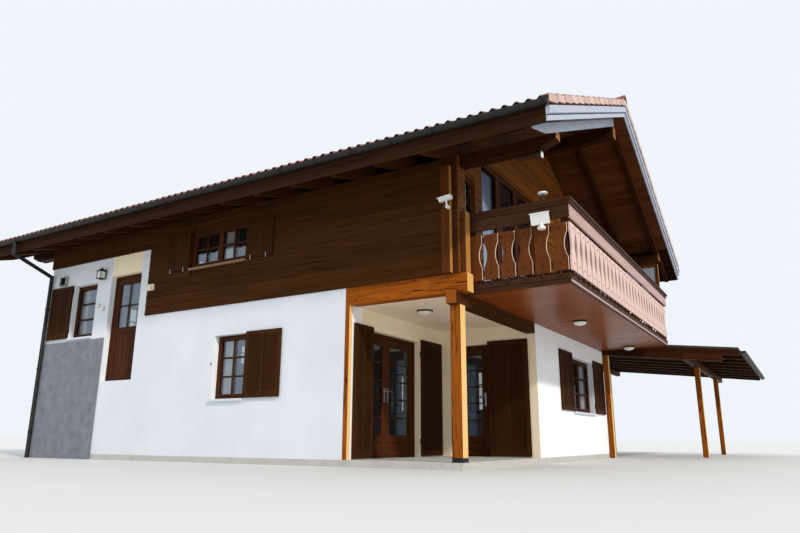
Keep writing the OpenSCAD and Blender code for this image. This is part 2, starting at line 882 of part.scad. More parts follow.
module side_panes(w, x, bays) {
    for (s = pane_spans(w, bays)) block(x, s, [w[1] + frame_w, w[1] + w[3] - frame_w]);
}

module gable_panes(w, y, bays) {
    for (s = pane_spans(w, bays)) block(s, y, [w[1] + frame_w, w[1] + w[3] - frame_w]);
}

module side_frame(w, x0, bays) {
    difference() {
        block([x0, x0 + frame_d], [w[0], w[0] + w[2]], [w[1], w[1] + w[3]]);
        side_panes(w, [x0 - 1, x0 + frame_d + 1], bays);
    }
}

module gable_frame(w, y0, bays) {
    difference() {
        block([w[0], w[0] + w[2]], [y0, y0 + frame_d], [w[1], w[1] + w[3]]);
        gable_panes(w, [y0 - 1, y0 + frame_d + 1], bays);
    }
}

timber_reveal = 30;
module window_frames() {
    color(dark_timber) from_corner() {
        for (w = side_windows) side_frame(w, reveal, 1);
        for (w = upper_windows) side_frame(w, timber_reveal, 2);
        translate([house_w, 0, 0]) mirror([1, 0, 0]) {
            for (w = far_windows) side_frame(w, reveal, 1);
            for (w = upper_windows) side_frame(w, timber_reveal, 2);
        }
        for (w = gable_windows) gable_frame(w, reveal, 2);
        for (w = gable_glazing()) gable_frame(w, timber_reveal, 1);
        for (w = rear_windows) gable_frame(w, house_l - reveal - frame_d, 2);
        for (w = rear_top_windows) gable_frame(w, house_l - timber_reveal - frame_d, 1);
    }
}

function glass_span(a) = [a + (frame_d - glass_t) / 2, a + (frame_d + glass_t) / 2];

module window_glass() {
    color(glass_color) from_corner() {
        for (w = side_windows) side_panes(w, glass_span(reveal), 1);
        for (w = upper_windows) side_panes(w, glass_span(timber_reveal), 2);
        translate([house_w, 0, 0]) mirror([1, 0, 0]) {
            for (w = far_windows) side_panes(w, glass_span(reveal), 1);
            for (w = upper_windows) side_panes(w, glass_span(timber_reveal), 2);
        }
        for (w = gable_windows) gable_panes(w, glass_span(reveal), 2);
        for (w = gable_glazing()) gable_panes(w, glass_span(timber_reveal), 1);
        for (w = rear_windows) gable_panes(w, glass_span(house_l - reveal - frame_d), 2);
        for (w = rear_top_windows) gable_panes(w, glass_span(house_l - timber_reveal - frame_d), 1);
        screen_panes([screen_x[0] + glass_t / 2, screen_x[1] - glass_t / 2]);
    }
}

module window_sills() {
    color(stone_color) from_corner() {
        for (w = side_windows) wall_sill(w, 0);
        for (w = upper_windows) wall_sill(w, board_t);
        translate([house_w, 0, 0]) mirror([1, 0, 0]) {
            for (w = far_windows) wall_sill(w, 0);
            for (w = upper_windows) wall_sill(w, board_t);
        }
        for (w = gable_windows)
            block([w[0], w[0] + w[2]], [-sill_out, 0], [w[1] - sill_t, w[1]]);
        for (w = rear_windows)
            block([w[0], w[0] + w[2]], [house_l, house_l + sill_out], [w[1] - sill_t, w[1]]);
    }
}

// A sill that rests against a side wall's face, which stands out by a given amount
module wall_sill(w, out) {
    block([-out - sill_out, -out], [w[0], w[0] + w[2]], [w[1] - sill_t, w[1]]);
}

// Doors: each leaf is drawn with X along the leaf from its hinged edge and Y inwards

leaf_edge = frame_w + leaf_gap;

// A leaf with a solid lower panel and a glazed upper part, both thinner than the stiles
module leaf(w, h, panel_h) {
    panel_t = 24;
    difference() {
        translate([0, -leaf_t, 0]) cube([w, leaf_t, h]);
        for (z = [[stile_w, panel_h], [panel_h + stile_w, h - stile_w]],
             y = [[-leaf_t - 1, (-leaf_t - panel_t) / 2], [(-leaf_t + panel_t) / 2, 1]])
            block([stile_w, w - stile_w], y, z);
    }
}

// The pins that carry a leaf, seated on the jamb's inner face
module door_hinges(h) {
    foot_t = 12;
    arm_gap = 4;
    reach = leaf_gap + 30;
    for (z = [h * 0.12, h * 0.82]) translate([0, 0, z]) {
        translate([pin_x, pin_r + pin_gap, 0]) cylinder(r = pin_r, h = pin_h);
        translate([-reach, arm_gap, 0]) cube([reach + pin_x, foot_t - arm_gap, pin_h]);
        translate([-reach, 0, 0]) cube([reach - leaf_gap, foot_t, pin_h]);
    }
}
pin_x = 10;

// Places what is drawn at a leaf's hinged edge in a wall along Y, hinged at its far jamb
module at_side_door(x, y, z) {
    translate([x, y, z]) rotate([0, 0, -90]) children();
}

module door_ring_side(x0, y, z) {
    difference() {
        block([x0, x0 + frame_d], y, z);
        block([x0 - 1, x0 + frame_d + 1], [y[0] + frame_w, y[1] - frame_w],
              [z[0] - 1, z[1] - frame_w]);
    }
}

leaf_lift = 10;
entrance_leaf_w = entrance_w - 2 * leaf_edge;
entrance_leaf_h = entrance_h - leaf_edge - leaf_lift;
entrance_hinge_y = entrance_y + entrance_w - leaf_edge;
side_leaf_w = side_door_w - 2 * leaf_edge;
ground_leaf_h = door_h - leaf_edge - leaf_lift;
side_hinge_y = side_door_y + side_door_w - leaf_edge;
inner_face = reveal + frame_d;

module entrance_frame() {
    z = [entrance_floor_z, entrance_floor_z + entrance_h];
    color(dark_timber) from_corner() {
        door_ring_side(reveal, [entrance_y, entrance_y + entrance_w], z);
        at_side_door(inner_face, entrance_hinge_y, entrance_floor_z) door_hinges(entrance_leaf_h);
    }
}

module entrance_door() {
    color(shutter_color) from_corner()
        at_side_door(inner_face, entrance_hinge_y, entrance_floor_z + leaf_lift)
            leaf(entrance_leaf_w, entrance_leaf_h, entrance_leaf_h * 0.46);
}

double_leaf_left_w = left_leaf_w - leaf_edge - leaf_gap / 2;
double_leaf_right_w = double_door_w - left_leaf_w - leaf_edge - leaf_gap / 2;

module at_left_leaf(z) {
    translate([double_door_x + leaf_edge, loggia_d + inner_face, z]) children();
}

module at_right_leaf(z) {
    translate([double_door_x + double_door_w - leaf_edge, loggia_d + inner_face, z])
        mirror([1, 0, 0]) children();
}

module loggia_door_frames() {
    z = [slab_t, ground_head_z];
    color(dark_timber) from_corner() {
        door_ring_side(loggia_w + reveal, [side_door_y, side_door_y + side_door_w], z);
        at_side_door(loggia_w + inner_face, side_hinge_y, slab_t) door_hinges(ground_leaf_h);
        difference() {
            block([double_door_x, double_door_x + double_door_w],
                  [loggia_d + reveal, loggia_d + inner_face], z);
            block([double_door_x + frame_w, double_door_x + double_door_w - frame_w],
                  [loggia_d + reveal - 1, loggia_d + inner_face + 1], [z[0] - 1, z[1] - frame_w]);
        }
        at_left_leaf(slab_t) door_hinges(ground_leaf_h);
        at_right_leaf(slab_t) door_hinges(ground_leaf_h);
    }
}

module loggia_door() {
    color(shutter_color) from_corner()
        at_side_door(loggia_w + inner_face, side_hinge_y, slab_t + leaf_lift)
            leaf(side_leaf_w, ground_leaf_h, stile_w * 2);
}

module french_leaf_left() {
    color(shutter_color) from_corner() at_left_leaf(slab_t + leaf_lift)
        leaf(double_leaf_left_w, ground_leaf_h, stile_w * 2);
}

module french_leaf_right() {
    color(shutter_color) from_corner() at_right_leaf(slab_t + leaf_lift)
        leaf(double_leaf_right_w, ground_leaf_h, stile_w * 2);
}

// Shutters: drawn open, with X running away from the opening and Y out from the wall

shutter_axis = shutter_gap + shutter_t / 2;

module shutter(w, h) {
    slat_t = shutter_t / 3;
    mid_z = h * 0.5 - shutter_stile / 2;
    translate([pin_r + pin_gap, shutter_gap, 0]) difference() {
        cube([w, shutter_t, h]);
        for (z = [[shutter_stile, mid_z], [mid_z + shutter_stile, h - shutter_stile]],
             y = [[-1, (shutter_t - slat_t) / 2], [(shutter_t + slat_t) / 2, shutter_t + 1]])
            block([shutter_stile, w - shutter_stile], y, z);
    }
}

module shutter_pins(h) {
    arm_w = pin_r;
    for (z = [h * 0.1, h * 0.85]) translate([0, 0, z]) {
        translate([0, shutter_axis, 0]) cylinder(r = pin_r, h = pin_h);
        translate([-arm_w / 2, 0, 0]) cube([arm_w, shutter_axis, pin_h]);
    }
}

// Each shutter as [hinge x, hinge y, sill height, turn about Z, mirrored, width, height]
door_shutter_z = slab_t + shutter_lap / 2;
door_shutter_h = door_h + shutter_lap;
gable_shutter_w = gable_window_w / 2 - pin_r - pin_gap - 3;
hinge_out = 6;
french_left = [double_door_x - hinge_out, loggia_d, door_shutter_z, 180, false,
               narrow_shutter_w, door_shutter_h];
french_right = [double_door_x + double_door_w + hinge_out, loggia_d, door_shutter_z, 180, true,
                loggia_w - double_door_x - double_door_w - shutter_corner_gap, door_shutter_h];
loggia_side = [loggia_w, side_door_y - hinge_out, door_shutter_z, 90, true,
               side_door_w - 10, door_shutter_h];
gable_left = [gable_window_x - hinge_out, 0, gable_window_z + 5, 180, false,
              gable_shutter_w, gable_window_h + 2 * shutter_lap];
gable_right = [gable_window_x + gable_window_w + hinge_out, 0, gable_window_z + 5, 180, true,
               gable_shutter_w, gable_window_h + 2 * shutter_lap];
side_window_shutter = [0, side_window_y - hinge_out, side_window_z + 5, 90, true,
                       side_window_w + 10, side_window_h + 10];
hall_window_shutter = [0, hall_window_y + hall_window_w + hinge_out, hall_sill_z + 5, 90,
                       false, hall_shutter_w, hall_window_h + 10];
hinged_shutters = [french_left, french_right, loggia_side, gable_left, gable_right,
                   side_window_shutter, hall_window_shutter];

module at_hinge(s) {
    from_corner() translate([s[0], s[1], s[2]]) rotate([0, 0, s[3]])
        mirror([s[4] ? 1 : 0, 0, 0]) children();
}

module hinged_shutter(s) {
    color(shutter_color) at_hinge(s) shutter(s[5], s[6]);
}

module shutter_french_left() { hinged_shutter(french_left); }
module shutter_french_right() { hinged_shutter(french_right); }
module shutter_loggia_door() { hinged_shutter(loggia_side); }
module shutter_gable_left() { hinged_shutter(gable_left); }
module shutter_gable_right() { hinged_shutter(gable_right); }
module shutter_side_window() { hinged_shutter(side_window_shutter); }
module shutter_hall_window() { hinged_shutter(hall_window_shutter); }

module shutter_hinges() {
    color(metal_color) for (s = hinged_shutters) at_hinge(s) shutter_pins(s[6]);
}

// Shutters that stay open: on the upper side windows and the hidden sides
module fixed_shutters() {
    w = upper_windows[0];
    color(shutter_color) from_corner() {
        both_slopes() for (y = [w[0] - 10 - upper_shutter_w, w[0] + w[2] + 10])
            block([-board_t - shutter_t, -board_t], [y, y + upper_shutter_w], [w[1], w[1] + w[3]]);
        for (f = far_windows)
            block([house_w, house_w + shutter_t], [f[0] - 10 - f[2], f[0] - 10], [f[1], f[1] + f[3]]);
    }
}

// Lamps, the vent and the bell

light_places = [
    [loggia_w * 0.33, loggia_d * 0.59], [loggia_w + 190, -balcony_d / 2],
    [balcony_end_x - 390, -balcony_d / 2],
];
lantern_y = [entrance_y + entrance_w + 180, entrance_y + entrance_w + 300];
lantern_z = [rear_masonry_h - 490, rear_masonry_h - 180];
vent_y = [house_l - 590, house_l - 360];
vent_z = [rear_masonry_h - 430, rear_masonry_h - 230];
bell_y = [rear_part_y - 220, rear_part_y - 40];
bell_z = [boarding_z + 480, boarding_z + 600];

module ceiling_light(x, y) {
    lamp_r = 125;
    lamp_h = 65;
    base_h = 20;
    translate([x, y, ceiling_z - base_h]) cylinder(r = lamp_r, h = base_h);
    translate([x, y, ceiling_z - base_h]) intersection() {
        sphere(r = lamp_r - 10);
        translate([0, 0, -lamp_h]) cylinder(r = lamp_r, h = lamp_h);
    }
}

// A flood light with a round sensor below it, on the balcony's near side
module flood_light() {
    board_x = balcony_x - baluster_t - 6;
    lamp = [130, 240, 200];
    y = -balcony_d + 230;
    z = cap_z - 310;
    block([board_x - lamp[0], board_x], [y, y + lamp[1]], [z, z + lamp[2]]);
    translate([board_x - 80, y + 120, z - 65]) cylinder(r = 30, h = 66);
    translate([board_x - 80, y + 120, z - 110]) cylinder(r = 60, h = 46);
}

// A saucer-shaped lamp on a stem that stands on the handrail
module rail_lamp() {
    stem_h = 110;
    translate([balcony_x, -balcony_d + 330, cap_top]) {
        cylinder(r = 12, h = stem_h);
        translate([0, 0, stem_h - 1]) cylinder(r = 70, h = 36);
    }
}

// The lookout camera on the corner board
module corner_camera() {
    face_x = -board_t - 80;
    z = boarding_z + 970;
    translate([face_x, 170, z]) rotate([0, -90, 0]) cylinder(r = 28, h = 60);
    block([face_x - 82, face_x - 38], [148, 192], [z, z + 90]);
    block([face_x - 90, face_x - 30], [90, 290], [z + 90, z + 150]);
}

module fittings() {
    color(white_color) from_corner() {
        for (place = light_places) ceiling_light(place[0], place[1]);
        flood_light();
        rail_lamp();
        corner_camera();
        block([-90, 0], lantern_y, lantern_z);
        block([-60, 0], vent_y, vent_z);
        block([-board_t - 40, -board_t], bell_y, bell_z);
    }
}

// Canopy beside the house

canopy_x = [house_w + board_t + 10, house_w + board_t + 10 + canopy_w];
canopy_y = [-canopy_front, -canopy_front + canopy_d];
canopy_rows = [canopy_y[0] + canopy_front_row, canopy_y[1] - canopy_rear_row];
function canopy_under(y) = canopy_z - canopy_rafter_h + canopy_slope * (y - canopy_y[0]);
canopy_posts_x = [canopy_x[0] + canopy_near_posts, canopy_x[1] - canopy_far_posts];
house_side_posts_y = [-canopy_post_s, canopy_rows[1]];

module canopy_post(x, y) {
    block([x, x + canopy_post_s], [y, y + canopy_post_s], [0, canopy_under(y) - canopy_beam_h]);
}

module canopy_posts() {
    from_corner() {
        for (x = canopy_posts_x, y = canopy_rows) canopy_post(x, y);
        for (y = house_side_posts_y) canopy_post(canopy_x[0], y);
    }
}

// The front beam starts at the beam beside the house, the rear one at the side wall
module canopy_beams() {
    starts = [canopy_x[0], house_w];
    color(timber_color) from_corner() {
        for (i = [0, 1]) let (y = canopy_rows[i])
            along_x([starts[i], canopy_x[1]]) polygon([
                [y, canopy_under(y) - canopy_beam_h],
                [y + canopy_post_s, canopy_under(y) - canopy_beam_h],
                [y + canopy_post_s, canopy_under(y + canopy_post_s)], [y, canopy_under(y)],
            ]);
        along_x([canopy_x[0], canopy_x[0] + canopy_post_s])
            canopy_strip(-canopy_beam_h, 0, canopy_y[1] - canopy_rows[1]);
    }
}

module canopy_rafters() {
    pitch = (canopy_w - rafter_w) / (canopy_rafter_count - 1);
    color(timber_color) from_corner()
        for (i = [0 : canopy_rafter_count - 1])
            along_x([canopy_x[0] + i * pitch, canopy_x[0] + i * pitch + rafter_w])
                canopy_strip(0, canopy_rafter_h, 0);
}

// A strip in Y and Z that follows the canopy's slope
module canopy_strip(low, high, inset) {
    a = canopy_y[0] + inset;
    b = canopy_y[1] - inset;
    polygon([
        [a, canopy_under(a) + low], [b, canopy_under(b) + low],
        [b, canopy_under(b) + high], [a, canopy_under(a) + high],
    ]);
}

module canopy_roof() {
    covering = 45;
    color(metal_color) from_corner() along_x(canopy_x)
        canopy_strip(canopy_rafter_h, canopy_rafter_h + deck_t + covering, 0);
}

module canopy_gutter() {
    from_corner() translate([canopy_x[1], canopy_y[0] - gutter_r, canopy_z - 10])
        rotate([0, 0, 90]) gutter(0, 0, [0, canopy_w]);
}

floor_slab();
entrance_floor();
upper_floor();
side_wall_front();
side_wall_rear();
far_side_wall();
rear_wall();
loggia_pier_left();
loggia_pier_corner();
loggia_pier_front();
door_lintels();
gable_wall_lower();
plinth_render();
posts();
side_beam();
cross_beam();
side_boarding();
gable_boarding();
corner_boards();
purlins();
rafters();
roof_deck();
roof_tiles();
ridge_tiles();
roof_edge_boards();
gutters();
balcony_frame();
balcony_deck();
balcony_soffit();
balcony_rail();
balusters_front();
balusters_sides();
wind_screen();
window_frames();
window_glass();
window_sills();
entrance_frame();
entrance_door();
loggia_door_frames();
loggia_door();
french_leaf_left();
french_leaf_right();
shutter_french_left();
shutter_french_right();
shutter_loggia_door();
shutter_gable_left();
shutter_gable_right();
shutter_side_window();
shutter_hall_window();
shutter_hinges();
fixed_shutters();
fittings();
canopy_beams();
canopy_rafters();
canopy_roof();
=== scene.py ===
"""An alpine chalet: the finish of its surfaces, the boards, tiles, louvres, panes and lamps."""
import math
import random

import bpy
from mathutils import Matrix, Vector


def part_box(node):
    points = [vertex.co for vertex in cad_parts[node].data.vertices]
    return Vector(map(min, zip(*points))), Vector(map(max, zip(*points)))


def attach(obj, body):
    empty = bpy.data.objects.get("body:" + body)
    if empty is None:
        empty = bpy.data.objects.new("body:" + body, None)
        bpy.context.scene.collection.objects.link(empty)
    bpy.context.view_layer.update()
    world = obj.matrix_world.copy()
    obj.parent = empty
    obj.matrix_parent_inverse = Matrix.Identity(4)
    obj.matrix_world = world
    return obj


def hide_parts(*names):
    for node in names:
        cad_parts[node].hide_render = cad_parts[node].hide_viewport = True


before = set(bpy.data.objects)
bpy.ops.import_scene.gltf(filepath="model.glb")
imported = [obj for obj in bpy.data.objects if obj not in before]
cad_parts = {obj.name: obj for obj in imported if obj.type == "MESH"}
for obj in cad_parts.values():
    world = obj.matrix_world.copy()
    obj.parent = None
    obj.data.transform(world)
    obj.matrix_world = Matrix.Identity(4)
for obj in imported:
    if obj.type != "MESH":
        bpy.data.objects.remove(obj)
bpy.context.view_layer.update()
random.seed(7)

# Sizes of the house, in metres, from its near front corner on the ground
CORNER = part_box("floor_slab")[0]
FAR_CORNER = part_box("floor_slab")[1]
HOUSE_W = FAR_CORNER.x - CORNER.x
HOUSE_L = FAR_CORNER.y - CORNER.y
RIDGE_X = HOUSE_W / 2
RIDGE_JOINT = 0.001
SLOPE = 0.46
RAFTER_FOOT_Z = 4.4908
RAFTER_H = 0.16
RAFTER_TAPER = 0.54
RAFTER_TIP_H = 0.065
DECK_T = 0.027
DECK_BOARD = 0.096
GROOVE = 0.006
TILE_BUILD_UP = 0.29
FLOOR_Z = 0.1
CEILING_Z = 2.42
BOARDING_Z = 2.69
REAR_MASONRY_Z = 4.03
KNEE_TOP_Z = 4.33
REAR_PART_Y = 6.75
BOARD_T = 0.03
BOARD_ROW = 0.163
TIMBER_WALL_T = 0.2
REAR_WALL_END = HOUSE_L - TIMBER_WALL_T
EAVE_X = -0.96
FRONT_Y = -1.75
REAR_Y = HOUSE_L + 1.2
ROOF_Y = (FRONT_Y, REAR_Y)
PURLIN_BACK = 0.25
CORNER_PROUD = BOARD_T + 0.08
BARGE_T = 0.028
BARGE_RISE = 0.16
LOGGIA_W = 3.03
LOGGIA_D = 1.9
FRAME_W = 0.06
FRAME_D = 0.07
PITCH = 0.25
SEAT = 0.001
SHARP_ANGLE = math.radians(35)
BEVEL_ANGLE = math.radians(40)


def rafter_under(x):
    return RAFTER_FOOT_Z + SLOPE * min(x, HOUSE_W - x)


def rafter_top(x):
    return rafter_under(x) + RAFTER_H


def deck_top(x):
    return rafter_top(x) + DECK_T


def tile_top(x):
    return deck_top(x) + TILE_BUILD_UP


def about(centre, half):
    """A span, which is a (start, end) pair, round its centre."""
    return (centre - half, centre + half)


def within(span, margin):
    return (span[0] + margin, span[1] - margin)


def edges(span, width):
    """The strips at both ends of a span."""
    return ((span[0], span[0] + width), (span[1] - width, span[1]))


def parts(span, count):
    """Equal parts of a span."""
    step = (span[1] - span[0]) / count
    starts = [span[0] + i * step for i in range(count)]
    return [(a, a + step) for a in starts]


def divisions(span, count):
    """The places between equal parts of a span."""
    return [span[0] + i * (span[1] - span[0]) / count for i in range(1, count)]


def arc(radius, turns, centre=(0.0, 0.0)):
    return [(centre[0] + radius * math.cos(t), centre[1] + radius * math.sin(t)) for t in turns]


def added(name, data):
    made = bpy.data.objects.new(name, data)
    bpy.context.scene.collection.objects.link(made)
    return made


# Meshes

class Shape:
    """Collects solids, in metres from the house's near front corner, and makes one object."""

    def __init__(self):
        self.points = []
        self.faces = []
        self.slots = []
        self.placed = Matrix.Identity(4)

    def under(self, matrix):
        self.placed = matrix
        return self

    def add(self, points, faces, slot=0):
        first = len(self.points)
        flip = self.placed.determinant() < 0
        self.points += [self.placed @ Vector(p) + CORNER for p in points]
        for face in faces:
            ring = [first + i for i in face]
            self.faces.append(ring[::-1] if flip else ring)
            self.slots.append(slot)

    def hexa(self, ring, top, slot=0, rim=None):
        """A solid between two rings of points, both counter-clockwise seen from the top's side."""
        n = len(ring)
        sides = [(i, (i + 1) % n, n + (i + 1) % n, n + i) for i in range(n)]
        caps = [tuple(range(n))[::-1], tuple(range(n, 2 * n))]
        self.add(list(ring) + list(top), sides + caps, slot)
        if rim is not None:
            first = len(self.slots) - n - 2
            self.slots[first:first + n] = [rim] * n

    def block(self, x, y, z, slot=0):
        ring = [(x[0], y[0]), (x[1], y[0]), (x[1], y[1]), (x[0], y[1])]
        self.hexa([(a, b, z[0]) for a, b in ring], [(a, b, z[1]) for a, b in ring], slot)

    def prism(self, outline, axis, span, slot=0, rim=None):
        """An outline in the two other axes, in X, Y, Z order, drawn out along one axis."""
        pairs = list(zip(outline, outline[1:] + outline[:1]))
        area = sum(a[0] * b[1] - b[0] * a[1] for a, b in pairs)
        if (area > 0) != (axis != "y"):
            outline = outline[::-1]
        place = {"x": lambda a, b, s: (s, a, b), "y": lambda a, b, s: (a, s, b),
                 "z": lambda a, b, s: (a, b, s)}[axis]
        self.hexa([place(a, b, span[0]) for a, b in outline],
                  [place(a, b, span[1]) for a, b in outline], slot, rim)

    def grooved_boards(self, ends, count, under, over, axis, span, groove=GROOVE, outer_slot=0):
        """A row of boards with open grooves below, and a slot for those outside the house."""
        for a, b in parts(ends, count):
            self.prism([(a, under(a) + groove), (a + groove, under(a + groove)),
                        (b - groove, under(b - groove)), (b, under(b) + groove),
                        (b, over(b)), (a, over(a))], axis, span, outer_slot if a < 0.0 else 0)

    def lathe(self, profile, centre, steps=32, slot=0):
        """Turns (radius, height) points about an upright line through a centre."""
        points = []
        for i in range(steps):
            a = 2 * math.pi * i / steps
            points += [(centre[0] + r * math.cos(a), centre[1] + r * math.sin(a), centre[2] + z)
                       for r, z in profile]
        n = len(profile)
        faces = []
        for i in range(steps):
            j = (i + 1) % steps
            faces += [(i * n + k, j * n + k, j * n + k + 1, i * n + k + 1) for k in range(n - 1)]
        faces.append(tuple(i * n for i in range(steps))[::-1])
        faces.append(tuple(i * n + n - 1 for i in range(steps)))
        self.add(points, faces, slot)

    def rod(self, start, end, radius, steps=12, slot=0):
        a = Vector(start)
        line = Vector(end) - a
        turn = line.to_track_quat("Z", "Y").to_matrix()
        circle = arc(radius, [2 * math.pi * i / steps for i in range(steps)])
        rings = [[a + turn @ Vector((x, y, z)) for x, y in circle] for z in (0.0, line.length)]
        self.hexa(*rings, slot)

    def build(self, name, names, smooth=False):
        mesh = bpy.data.meshes.new(name)
        mesh.from_pydata(self.points, [], self.faces)
        for look in names.split():
            mesh.materials.append(looks[look])
        mesh.polygons.foreach_set("material_index", self.slots)
        mesh.polygons.foreach_set("use_smooth", [smooth] * len(self.faces))
        mesh.update()
        if smooth:
            mesh.set_sharp_from_angle(angle=SHARP_ANGLE)
        return added(name, mesh)

    def make(self, name, names, body="house", edge=0.0, smooth=False, stands_for=()):
        piece = self.build(name, names, smooth)
        if edge:
            bevel = piece.modifiers.new("edge", "BEVEL")
            bevel.width = edge
            bevel.segments = 2
            bevel.limit_method = "ANGLE"
            bevel.angle_limit = BEVEL_ANGLE
        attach(piece, body)
        if stands_for:
            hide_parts(*stands_for)


def facing(origin, along, out):
    """Local X runs along a wall, local Y out of it and local Z up, from an origin."""
    return Matrix.Translation(origin) @ Matrix((along, out, (0, 0, 1))).transposed().to_4x4()


NO_TURN = Matrix.Identity(4)
MIRROR = Matrix.Translation((HOUSE_W, 0, 0)) @ Matrix.Scale(-1, 4, (1, 0, 0))
BOTH_SIDES = (NO_TURN, MIRROR)
NEAR = facing((0, 0, 0), (0, 1, 0), (-1, 0, 0))
FAR = MIRROR @ NEAR
GABLE = facing((0, 0, 0), (1, 0, 0), (0, -1, 0))
REAR = facing((HOUSE_W, HOUSE_L, 0), (-1, 0, 0), (0, 1, 0))

# Looks

looks = {}
BLACK = (0, 0, 0, 1)
WHITE = (1, 1, 1, 1)
TO_FRONT = (0, -1, 0)
TO_NEAR_SIDE = (-1, 0, 0)
TO_FAR_SIDE = (1, 0, 0)
FAR_AWAY = 50.0
ONE_TONE = (FAR_AWAY, FAR_AWAY, FAR_AWAY)
MIDDLE = (-FAR_AWAY / 2, -FAR_AWAY / 2, -FAR_AWAY / 2)
ZERO = (0, 0, 0)


def shades(*colours):
    """Colours as they are seen on a screen, from 0 to 255, as Blender's linear values."""
    def linear(c):
        c /= 255
        return c / 12.92 if c <= 0.04045 else ((c + 0.055) / 1.055) ** 2.4
    return [tuple(linear(c) for c in colour) + (1.0,) for colour in colours]


def dimmed(colour, factor):
    return tuple(c * factor for c in colour[:3]) + (1,)


class Look:
    """Builds a material from nodes."""

    def __init__(self, name, roughness=0.6):
        self.material = bpy.data.materials.new(name)
        self.material.use_nodes = True
        self.tree = self.material.node_tree
        self.shader = self.tree.nodes["Principled BSDF"]
        self.fixed(Roughness=roughness)
        coordinates = self.node("ShaderNodeTexCoord")
        self.place = coordinates.outputs["Object"]
        self.normal = coordinates.outputs["Normal"]
        looks[name] = self.material

    def node(self, kind, inputs=None, **settings):
        made = self.tree.nodes.new(kind)
        for key, value in settings.items():
            setattr(made, key, value)
        for key, value in (inputs or {}).items():
            self.put(value, made.inputs[key])
        return made

    def put(self, value, socket):
        if isinstance(value, bpy.types.NodeSocket):
            self.tree.links.new(value, socket)
        else:
            socket.default_value = value

    def fixed(self, **values):
        for key, value in values.items():
            self.put(value, self.shader.inputs[key.replace("_", " ")])

    def stretched(self, scale, shift=ZERO):
        return self.node("ShaderNodeMapping", {"Vector": self.place, "Scale": scale,
                                               "Location": shift}).outputs[0]

    def noise(self, scale, detail, rough=0.6, twist=0.0, stretch=None):
        vector = self.stretched(stretch) if stretch else self.place
        return self.node("ShaderNodeTexNoise", {"Vector": vector, "Scale": scale, "Detail": detail,
                                                "Roughness": rough,
                                                "Distortion": twist}).outputs["Fac"]

    def cells(self, size, start=ZERO, flip=False):
        """A random value from 0 to 1 for each box of a given size, counted from a start."""
        turn = (-1, 1, 1) if flip else (1, 1, 1)
        moved = self.stretched(turn, [-v for v in start])
        snapped = self.node("ShaderNodeVectorMath", {0: moved, 1: size}, operation="SNAP")
        return self.node("ShaderNodeTexWhiteNoise",
                         {"Vector": snapped.outputs[0]}).outputs["Value"]

    def ramp(self, value, low, dark, high, light):
        made = self.node("ShaderNodeValToRGB", {"Fac": value})
        for point, position, colour in zip(made.color_ramp.elements, (low, high), (dark, light)):
            point.position = position
            point.color = colour
        return made.outputs["Color"]

    def mask(self, value, low, high):
        return self.ramp(value, low, BLACK, high, WHITE)

    def mix(self, factor, a, b, blend="MIX"):
        made = self.node("ShaderNodeMix", data_type="RGBA", blend_type=blend)
        for socket, value in ((made.inputs[0], factor), (made.inputs[6], a), (made.inputs[7], b)):
            self.put(value, socket)
        return made.outputs[2]

    def scale(self, value, low, high):
        return self.node("ShaderNodeMapRange", {"Value": value, "To Min": low,
                                                "To Max": high}).outputs[0]

    def faces(self, side):
        """1 on faces that look to one side, else 0."""
        towards = self.node("ShaderNodeVectorMath", {0: self.normal, 1: side},
                            operation="DOT_PRODUCT").outputs["Value"]
        return self.mask(towards, 0.6, 0.9)

    def bump(self, height, distance, strength=0.6):
        made = self.node("ShaderNodeBump", {"Height": height, "Distance": distance,
                                            "Strength": strength})
        self.fixed(Normal=made.outputs[0])


def with_grain(grain, across, along):
    """Scales of a texture, fine across the grain and long along it."""
    scales = [across] * 3
    scales["xyz".index(grain)] = along
    return scales


def wood(name, dark, light, grain, roughness=0.5, coat=0.0, knots=0.05, board=ONE_TONE,
         start=MIDDLE, cracks=0.0, painted_sun_colour=None, side=TO_FRONT):
    """Stained timber: long streaks along the grain, a tone for each board, knots and cracks.

    Faces that look to one side get a paler colour where one is given: painted sunlight.
    """
    look = Look(name, roughness)
    dark, light = shades(dark, light)
    deep = dimmed(dark, 0.35)
    tone = look.cells(board, start)
    broad = look.noise(1.0, 6.0, 0.62, 0.6, with_grain(grain, 18.0, 0.9))
    fine = look.noise(1.0, 3.0, stretch=with_grain(grain, 210.0, 5.0))
    colour = look.ramp(broad, 0.3, dark, 0.72, light)
    colour = look.mix(0.38, colour, look.ramp(tone, 0.0, dark, 1.0, light))
    fibres = look.ramp(fine, 0.35, dimmed(WHITE, 0.25), 0.7, dimmed(WHITE, 0.8))
    colour = look.mix(0.3, colour, fibres, "OVERLAY")
    spots = look.node("ShaderNodeTexVoronoi",
                      {"Vector": look.stretched(with_grain(grain, 5.5, 1.7)), "Scale": 1.0})
    near = look.ramp(spots.outputs["Distance"], knots, WHITE, knots + 0.07, BLACK)
    colour = look.mix(near, colour, deep)
    if cracks:
        edge = 0.62 - 0.06 * cracks
        line = look.noise(1.0, 3.0, 0.7, 0.4, with_grain(grain, 34.0, 1.3))
        colour = look.mix(look.mask(line, edge, edge + 0.04), colour, deep)
    # Painted sunlight: faces that look to the given side take the paler colour, with a little of the
    # grain's colour.
    if painted_sun_colour:
        painted_sun_mix = look.mix(look.scale(broad, 0.0, 0.3), *shades(painted_sun_colour), colour)
        colour = look.mix(look.faces(side), colour, painted_sun_mix)
    if coat:
        coat = look.scale(broad, 0.0, 2.0 * coat)
    look.bump(fine, 0.0012, 0.5)
    look.fixed(Base_Color=colour, Roughness=look.scale(fine, roughness - 0.08, roughness + 0.14),
               Specular_IOR_Level=0.03, Coat_Weight=coat, Coat_Roughness=0.22)


